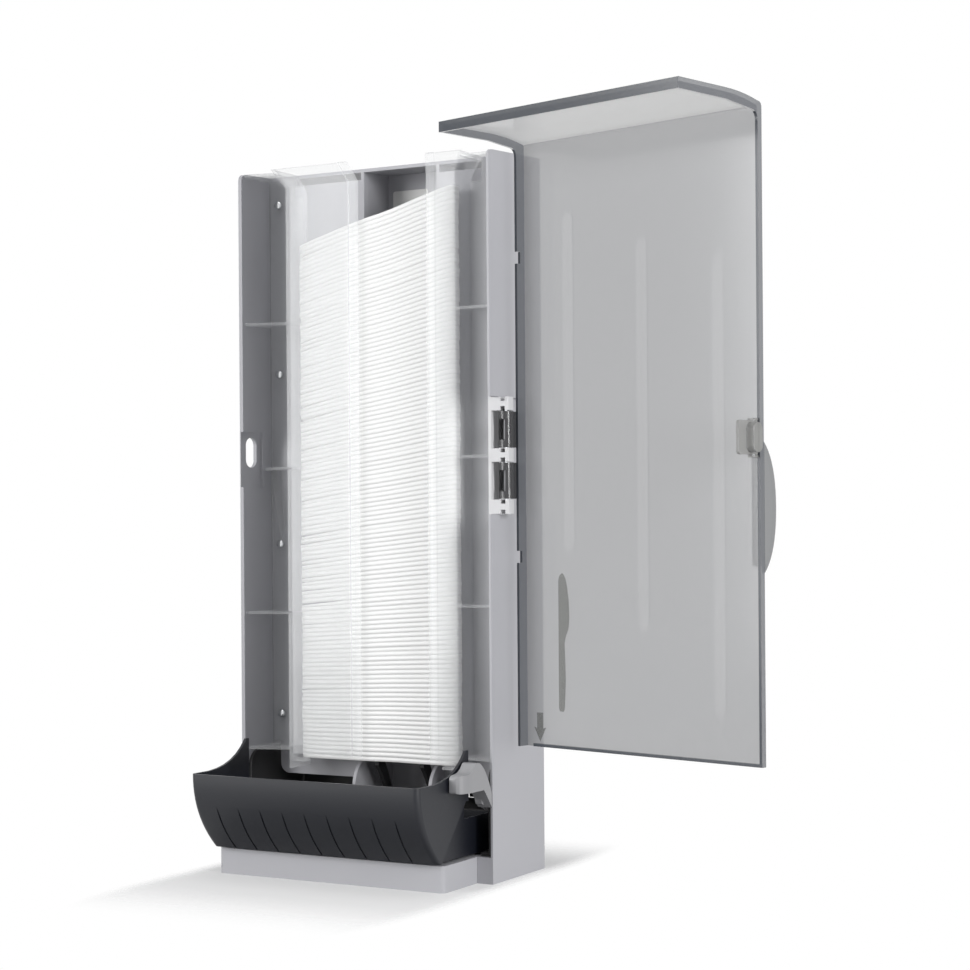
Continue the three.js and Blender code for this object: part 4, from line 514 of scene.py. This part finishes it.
# Eight pan head screws, cold headed from zinc-plated steel, hold the magazine halves to bosses behind the
# housing's plate, four down each side.
screw_steel = plated_steel("screw_steel", color=(0.66, 0.67, 0.68), roughness=0.2)
for number in range(1, 5):
    for side in ("left", "right"):
        finish_node(f"magazine_screw_{side}_{number}", screw_steel, edge=0.0002, angle=50.0)

# A blank white label plate is stuck high on the back of the recess. It is a thin card of glossy plastic
# sheet with no print.
label_plastic = grained_plastic("label_plastic", color=(0.8, 0.8, 0.78), roughness=0.35,
                                grain_scale=700.0, grain_depth=0.00001, mottle=0.02)
finish_node("label_plate", label_plastic, edge=0.0002)

# The knives are thin white polystyrene mouldings, stacked with their handles to the right. Handles are
# thicker than blades, so the stack fans out upwards to the right.
knife_count = 120
blade_end, handle_end = -0.0805, 0.080
end_gap, side_gap = 0.0008, 0.0003
knife_front, knife_back = 0.0192, 0.0408
stack_foot = 0.0933
handle_pitch, blade_pitch = 0.00412, 0.00377
ring_points, corner_power = 8, 0.12


def knife_surface(number, shift_x, shift_y, thin=0.0, fullness=1.0):
    """One knife as a closed tube: rings of eight points along X, whose depth follows the blade's and the
    handle's outline and whose thickness grows from the blade to the handle; its height over the foot is
    the number times the pitch at that place along it. A ring is a rounded rectangle: y goes with the
    cosine and z with the sine of the angle, each to a small power. A thin blade loses that share of its
    thickness; the fullness scales all of it."""
    along = np.array([0.0, 0.012, 0.05, 0.14, 0.3, 0.46, 0.53, 0.62, 0.8, 0.94, 0.99, 1.0])
    front = np.array([0.42, 0.18, 0.06, 0.02, 0.02, 0.05, 0.16, 0.2, 0.1, 0.06, 0.16, 0.3])
    back = np.array([0.58, 0.8, 0.94, 0.99, 0.98, 0.94, 0.76, 0.72, 0.86, 0.92, 0.82, 0.7])
    thick_shares = np.array([0.8, 0.98, 0.99, 0.99, 1.0, 1.0, 1.0, 1.0, 1.0, 1.0, 0.99, 0.85]) * fullness
    thick_shares[:6] -= thin * np.array([1.0, 1.0, 0.9, 0.6, 0.15, 0.03])
    length = handle_end - blade_end
    x = blade_end + end_gap + (length - 2 * end_gap) * along + shift_x
    middle_y = knife_front + (knife_back - knife_front) * (front + back) / 2 + shift_y
    half_y = (knife_back - knife_front) * (back - front) / 2 - side_gap
    share = (x - blade_end) / length
    pitch = blade_pitch + (handle_pitch - blade_pitch) * share
    foot = stack_foot + number * pitch
    thick = thick_shares * pitch
    angles = np.linspace(0, 2 * np.pi, ring_points, endpoint=False) + np.pi / ring_points
    across = np.sign(np.cos(angles)) * np.abs(np.cos(angles)) ** corner_power
    above = np.sign(np.sin(angles)) * np.abs(np.sin(angles)) ** corner_power
    y = middle_y[:, None] + half_y[:, None] * across
    z = foot[:, None] + thick[:, None] * (0.5 + 0.5 * above)
    return np.stack([np.broadcast_to(x[:, None], y.shape), y, z], -1)


def ring_faces(rings, points, start):
    """Quads between neighbouring rings of a closed tube, and one cap at each end: point j of ring i is
    vertex start + i times the points of a ring + j."""
    ring_starts = start + np.arange(rings - 1)[:, None] * points
    a = ring_starts + np.arange(points)
    b = ring_starts + (np.arange(points) + 1) % points
    quads = np.stack([a, b, b + points, a + points], -1).reshape(-1, 4).tolist()
    first_cap = list(range(start, start + points))[::-1]
    last_cap = list(range(start + (rings - 1) * points, start + rings * points))
    return quads + [first_cap, last_cap]


knife_styrene = grained_plastic("knife_styrene", color=(0.77, 0.77, 0.765), roughness=0.38,
                                grain_scale=420.0, grain_depth=0.00003, mottle=0.03)
knife_shader = knife_styrene.node_tree.nodes["Principled BSDF"]
# Painted light: the knives glow faintly for the light that the thin white plastic lets through, so the gaps
# between them do not go dark.
knife_shader.inputs["Emission Color"].default_value = (1.0, 1.0, 0.99, 1.0)
knife_shader.inputs["Emission Strength"].default_value = 0.09
shuffle = np.random.default_rng(7)
shifts = np.clip(shuffle.normal(0.0, 0.00035, (knife_count, 2)), -0.0007, 0.0007)
shifts[:, 1] *= 0.4
thin_blades = np.clip(shuffle.exponential(0.13, knife_count) - 0.03, 0.0, 0.55)
stack_fullness, next_fullness = 1.015, 0.97
third = knife_count // 3
for which, first, last in (("lower", 1, third), ("middle", third, 2 * third),
                           ("upper", 2 * third, knife_count)):
    stack = [knife_surface(i, *shifts[i], thin_blades[i], stack_fullness) for i in range(first, last)]
    ring_count = len(stack[0])
    faces = [face for i in range(len(stack))
             for face in ring_faces(ring_count, ring_points, i * ring_count * ring_points)]
    bundle = new_piece(f"knives_{which}", np.concatenate([s.reshape(-1, 3) for s in stack]), faces,
                       knife_styrene, "housing")
    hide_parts(f"knife_bundle_{which}")
lowest = knife_surface(0, 0.0, 0.0, fullness=next_fullness)
next_one = new_piece("knife_next", lowest, ring_faces(len(lowest), ring_points, 0),
                     knife_styrene, "next_knife_body")
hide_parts("next_knife")

# The catch tray is a deep charcoal moulding with a satin front that curls under, grooves on its belly
# and horns that sweep up beside the housing.
tray_plastic = grained_plastic("tray_plastic", color=(0.0035, 0.0045, 0.0085), roughness=0.4,
                               grain_scale=700.0, grain_depth=0.00003, mottle=0.08)
finish_node("catch_tray", tray_plastic, edge=0.0006, steps=3)

# The dispensing lever is a glossy pale grey moulding with well rounded edges, fixed on the shaft. A thumb
# presses its tab down to push out a knife.
lever_plastic = grained_plastic("lever_plastic", color=(0.29, 0.29, 0.3), roughness=0.34,
                                grain_scale=500.0, grain_depth=0.00001, mottle=0.02)
finish_node("dispensing_lever", lever_plastic, edge=0.0026, steps=6)

# Inside the foot a steel shaft turns in two bushes, with two black fingers that push the lowest knife
# and a torsion spring that lifts the lever again.
finish_node("kicker_shaft", pin_steel, edge=0.0003)
bush_plastic = grained_plastic("bush_plastic", color=(0.78, 0.77, 0.72), roughness=0.4)
for side in ("left", "right"):
    finish_node(f"kicker_finger_{side}", mechanism_plastic, edge=0.0003)
    finish_node(f"shaft_bush_{side}", bush_plastic, edge=0.0003)
finish_node("return_spring", pin_steel, edge=0.0)

# The door is one smoke-tinted moulding: a panel with raised flutes, a roof and flanges. Its arms, grip
# and latch are of the same plastic and are cemented or pinned to it.
# Painted light: the panel glows faintly, which softens the shadows cast on it, and its roof and other level
# faces take a paler tint and a stronger glow.
smoke_styrene = see_through_plastic("smoke_styrene", color=(0.27, 0.275, 0.285), clear=0.53, clouded=0.88,
                                    roughness=0.12, painted_glow=0.1, level=(0.66, 0.66, 0.65), level_painted_glow=0.22)
smoke_edge = see_through_plastic("smoke_edge", color=(0.05, 0.058, 0.072), clear=0.92, clouded=0.98,
                                 roughness=0.2)
smoke_side = see_through_plastic("smoke_side", color=(0.13, 0.136, 0.15), clear=0.72, clouded=0.88,
                                 roughness=0.15)
# Painted highlight: the flutes' paler colour and glow stand in for the light streaking along them.
smoke_flute = see_through_plastic("smoke_flute", color=(0.45, 0.45, 0.46), clear=0.52, clouded=0.88,
                                  roughness=0.12, painted_glow=0.13)
smoke_grip = see_through_plastic("smoke_grip", color=(0.2, 0.205, 0.21), clear=0.6, clouded=0.9,
                                 roughness=0.12)
smoke_arm = see_through_plastic("smoke_arm", color=(0.055, 0.055, 0.058), clear=0.78, clouded=0.95,
                                roughness=0.15)
smoke_latch = see_through_plastic("smoke_latch", color=(0.3, 0.3, 0.29), clear=0.5, clouded=0.9,
                                  roughness=0.12)
hinge_axis = np.array([0.1315, 0.0195])
door_angle = math.radians(165.5)
door = finish_node("door_shell", smoke_styrene, edge=0.0005)
door.data.materials.append(smoke_edge)
door.data.materials.append(smoke_flute)
door.data.materials.append(smoke_side)

# Seen along its length the smoke plastic is dark: the rims that face back from the panel take the dark
# shade, and the sides and the foot a middle one. The flutes, outside on the panel, take a paler colour
# and a glow: a painted highlight.
panel_number, edge_number, flute_number, side_number = 0, 1, 2, 3
square_on, inside_panel, inside_front, outside_front, foot_top = 0.7, 0.001, -0.0029, -0.0033, 0.118
face_count = len(door.data.polygons)
centres, normals = np.empty(face_count * 3), np.empty(face_count * 3)
door.data.polygons.foreach_get("center", centres)
door.data.polygons.foreach_get("normal", normals)
centres, normals = centres.reshape(-1, 3), normals.reshape(-1, 3)
back_when_shut = np.array([-math.sin(door_angle), math.cos(door_angle)])
behind_axis = (centres[:, :2] - hinge_axis) @ back_when_shut
faces_back = normals[:, :2] @ back_when_shut
shade_number = np.full(face_count, panel_number, np.int32)
depth = hinge_axis[1] + behind_axis
sideways = normals[:, :2] @ np.array([math.cos(door_angle), math.sin(door_angle)])
shade_number[(np.abs(sideways) > square_on) & (depth > inside_front)] = side_number
shade_number[(np.abs(normals[:, 2]) > square_on) & (centres[:, 2] < foot_top)] = side_number
shade_number[(faces_back > square_on) & (depth > inside_panel)] = edge_number
shade_number[(faces_back < -square_on) & (depth < outside_front)] = flute_number
door.data.polygons.foreach_set("material_index", shade_number)

# The crescent grip is cemented to the door's free edge, and the latch swings on a pin in its bracket
# there. All are of the smoke plastic, with dark edges, and so are the two arms at the hinge.
for name, plastic, edge, steps in (("door_grip", smoke_grip, 0.0006, 3),
                                   ("latch_bracket", smoke_latch, 0.0002, 2),
                                   ("door_latch", smoke_latch, 0.0004, 2)):
    trimmed = finish_node(name, plastic, edge, steps)
    trimmed.data.materials.append(smoke_edge)
    trimmed.modifiers["rounded_edges"].material = edge_number
finish_node("door_hinge_arm_lower", smoke_arm, edge=0.0003)
finish_node("door_hinge_arm_upper", smoke_arm, edge=0.0003)
finish_node("latch_pin", pin_steel, edge=0.0002)

# A knife pictogram and an arrow that points down at the tray are printed in a thin grey film on the
# door's inner face. Their outlines are drawn on the shut door and then swung open with it.
inner_face, film = -0.0006, 0.00008


def printed_film(name, outline_x, outline_z):
    """A closed film from an outline on the shut door: back and front ring, two caps and the rim, turned
    about the hinge axis by the door's angle: x' = c x - s y and y' = s x + c y from the axis."""
    points = len(outline_x)
    x = np.tile(outline_x, 2) - hinge_axis[0]
    y = np.repeat([inner_face + film / 4, inner_face + film], points) - hinge_axis[1]
    cosine, sine = math.cos(door_angle), math.sin(door_angle)
    turned_x = hinge_axis[0] + cosine * x - sine * y
    turned_y = hinge_axis[1] + sine * x + cosine * y
    vertices = np.stack([turned_x, turned_y, np.tile(outline_z, 2)], -1)
    here = np.arange(points)
    after = (here + 1) % points
    rim = np.stack([here, after, after + points, here + points], -1).tolist()
    caps = [here[::-1].tolist(), (here + points).tolist()]
    new_piece(name, vertices, rim + caps, print_film, "door", smooth=False)


print_film = see_through_plastic("print_film", color=(0.13, 0.135, 0.12), clear=0.34, clouded=0.4,
                                 roughness=0.4)
knife_foot, knife_tip = 0.143, 0.2575
knife_spine, knife_belly = 0.0922, 0.0802
rise = np.linspace(0.0, 1.0, 60)
belly_share = np.interp(rise, [0.0, 0.02, 0.23, 0.42, 0.5, 0.55, 0.6, 0.68, 0.8, 0.9, 0.96, 0.99, 1.0],
                        [0.42, 0.53, 0.64, 0.58, 0.55, 0.68, 0.93, 1.0, 0.96, 0.82, 0.68, 0.52, 0.42])
spine_share = np.interp(rise, [0.0, 0.02, 0.95, 0.985, 1.0], [0.1, 0.0, 0.0, 0.12, 0.3])
across = np.concatenate([belly_share, spine_share[::-1]])
up_knife = np.concatenate([rise, rise[::-1]])
printed_film("knife_pictogram", knife_spine + (knife_belly - knife_spine) * across,
             knife_foot + (knife_tip - knife_foot) * up_knife)
arrow_centre, arrow_tip, arrow_top = 0.1135, 0.1165, 0.1408
arrow_half = 0.0066 * np.array([0.0, 1.0, 0.52, 0.52, -0.52, -0.52, -1.0])
arrow_rise = np.array([0.0, 0.5, 0.46, 1.0, 1.0, 0.46, 0.5])
printed_film("arrow_pictogram", arrow_centre + arrow_half, arrow_tip + (arrow_top - arrow_tip) * arrow_rise)
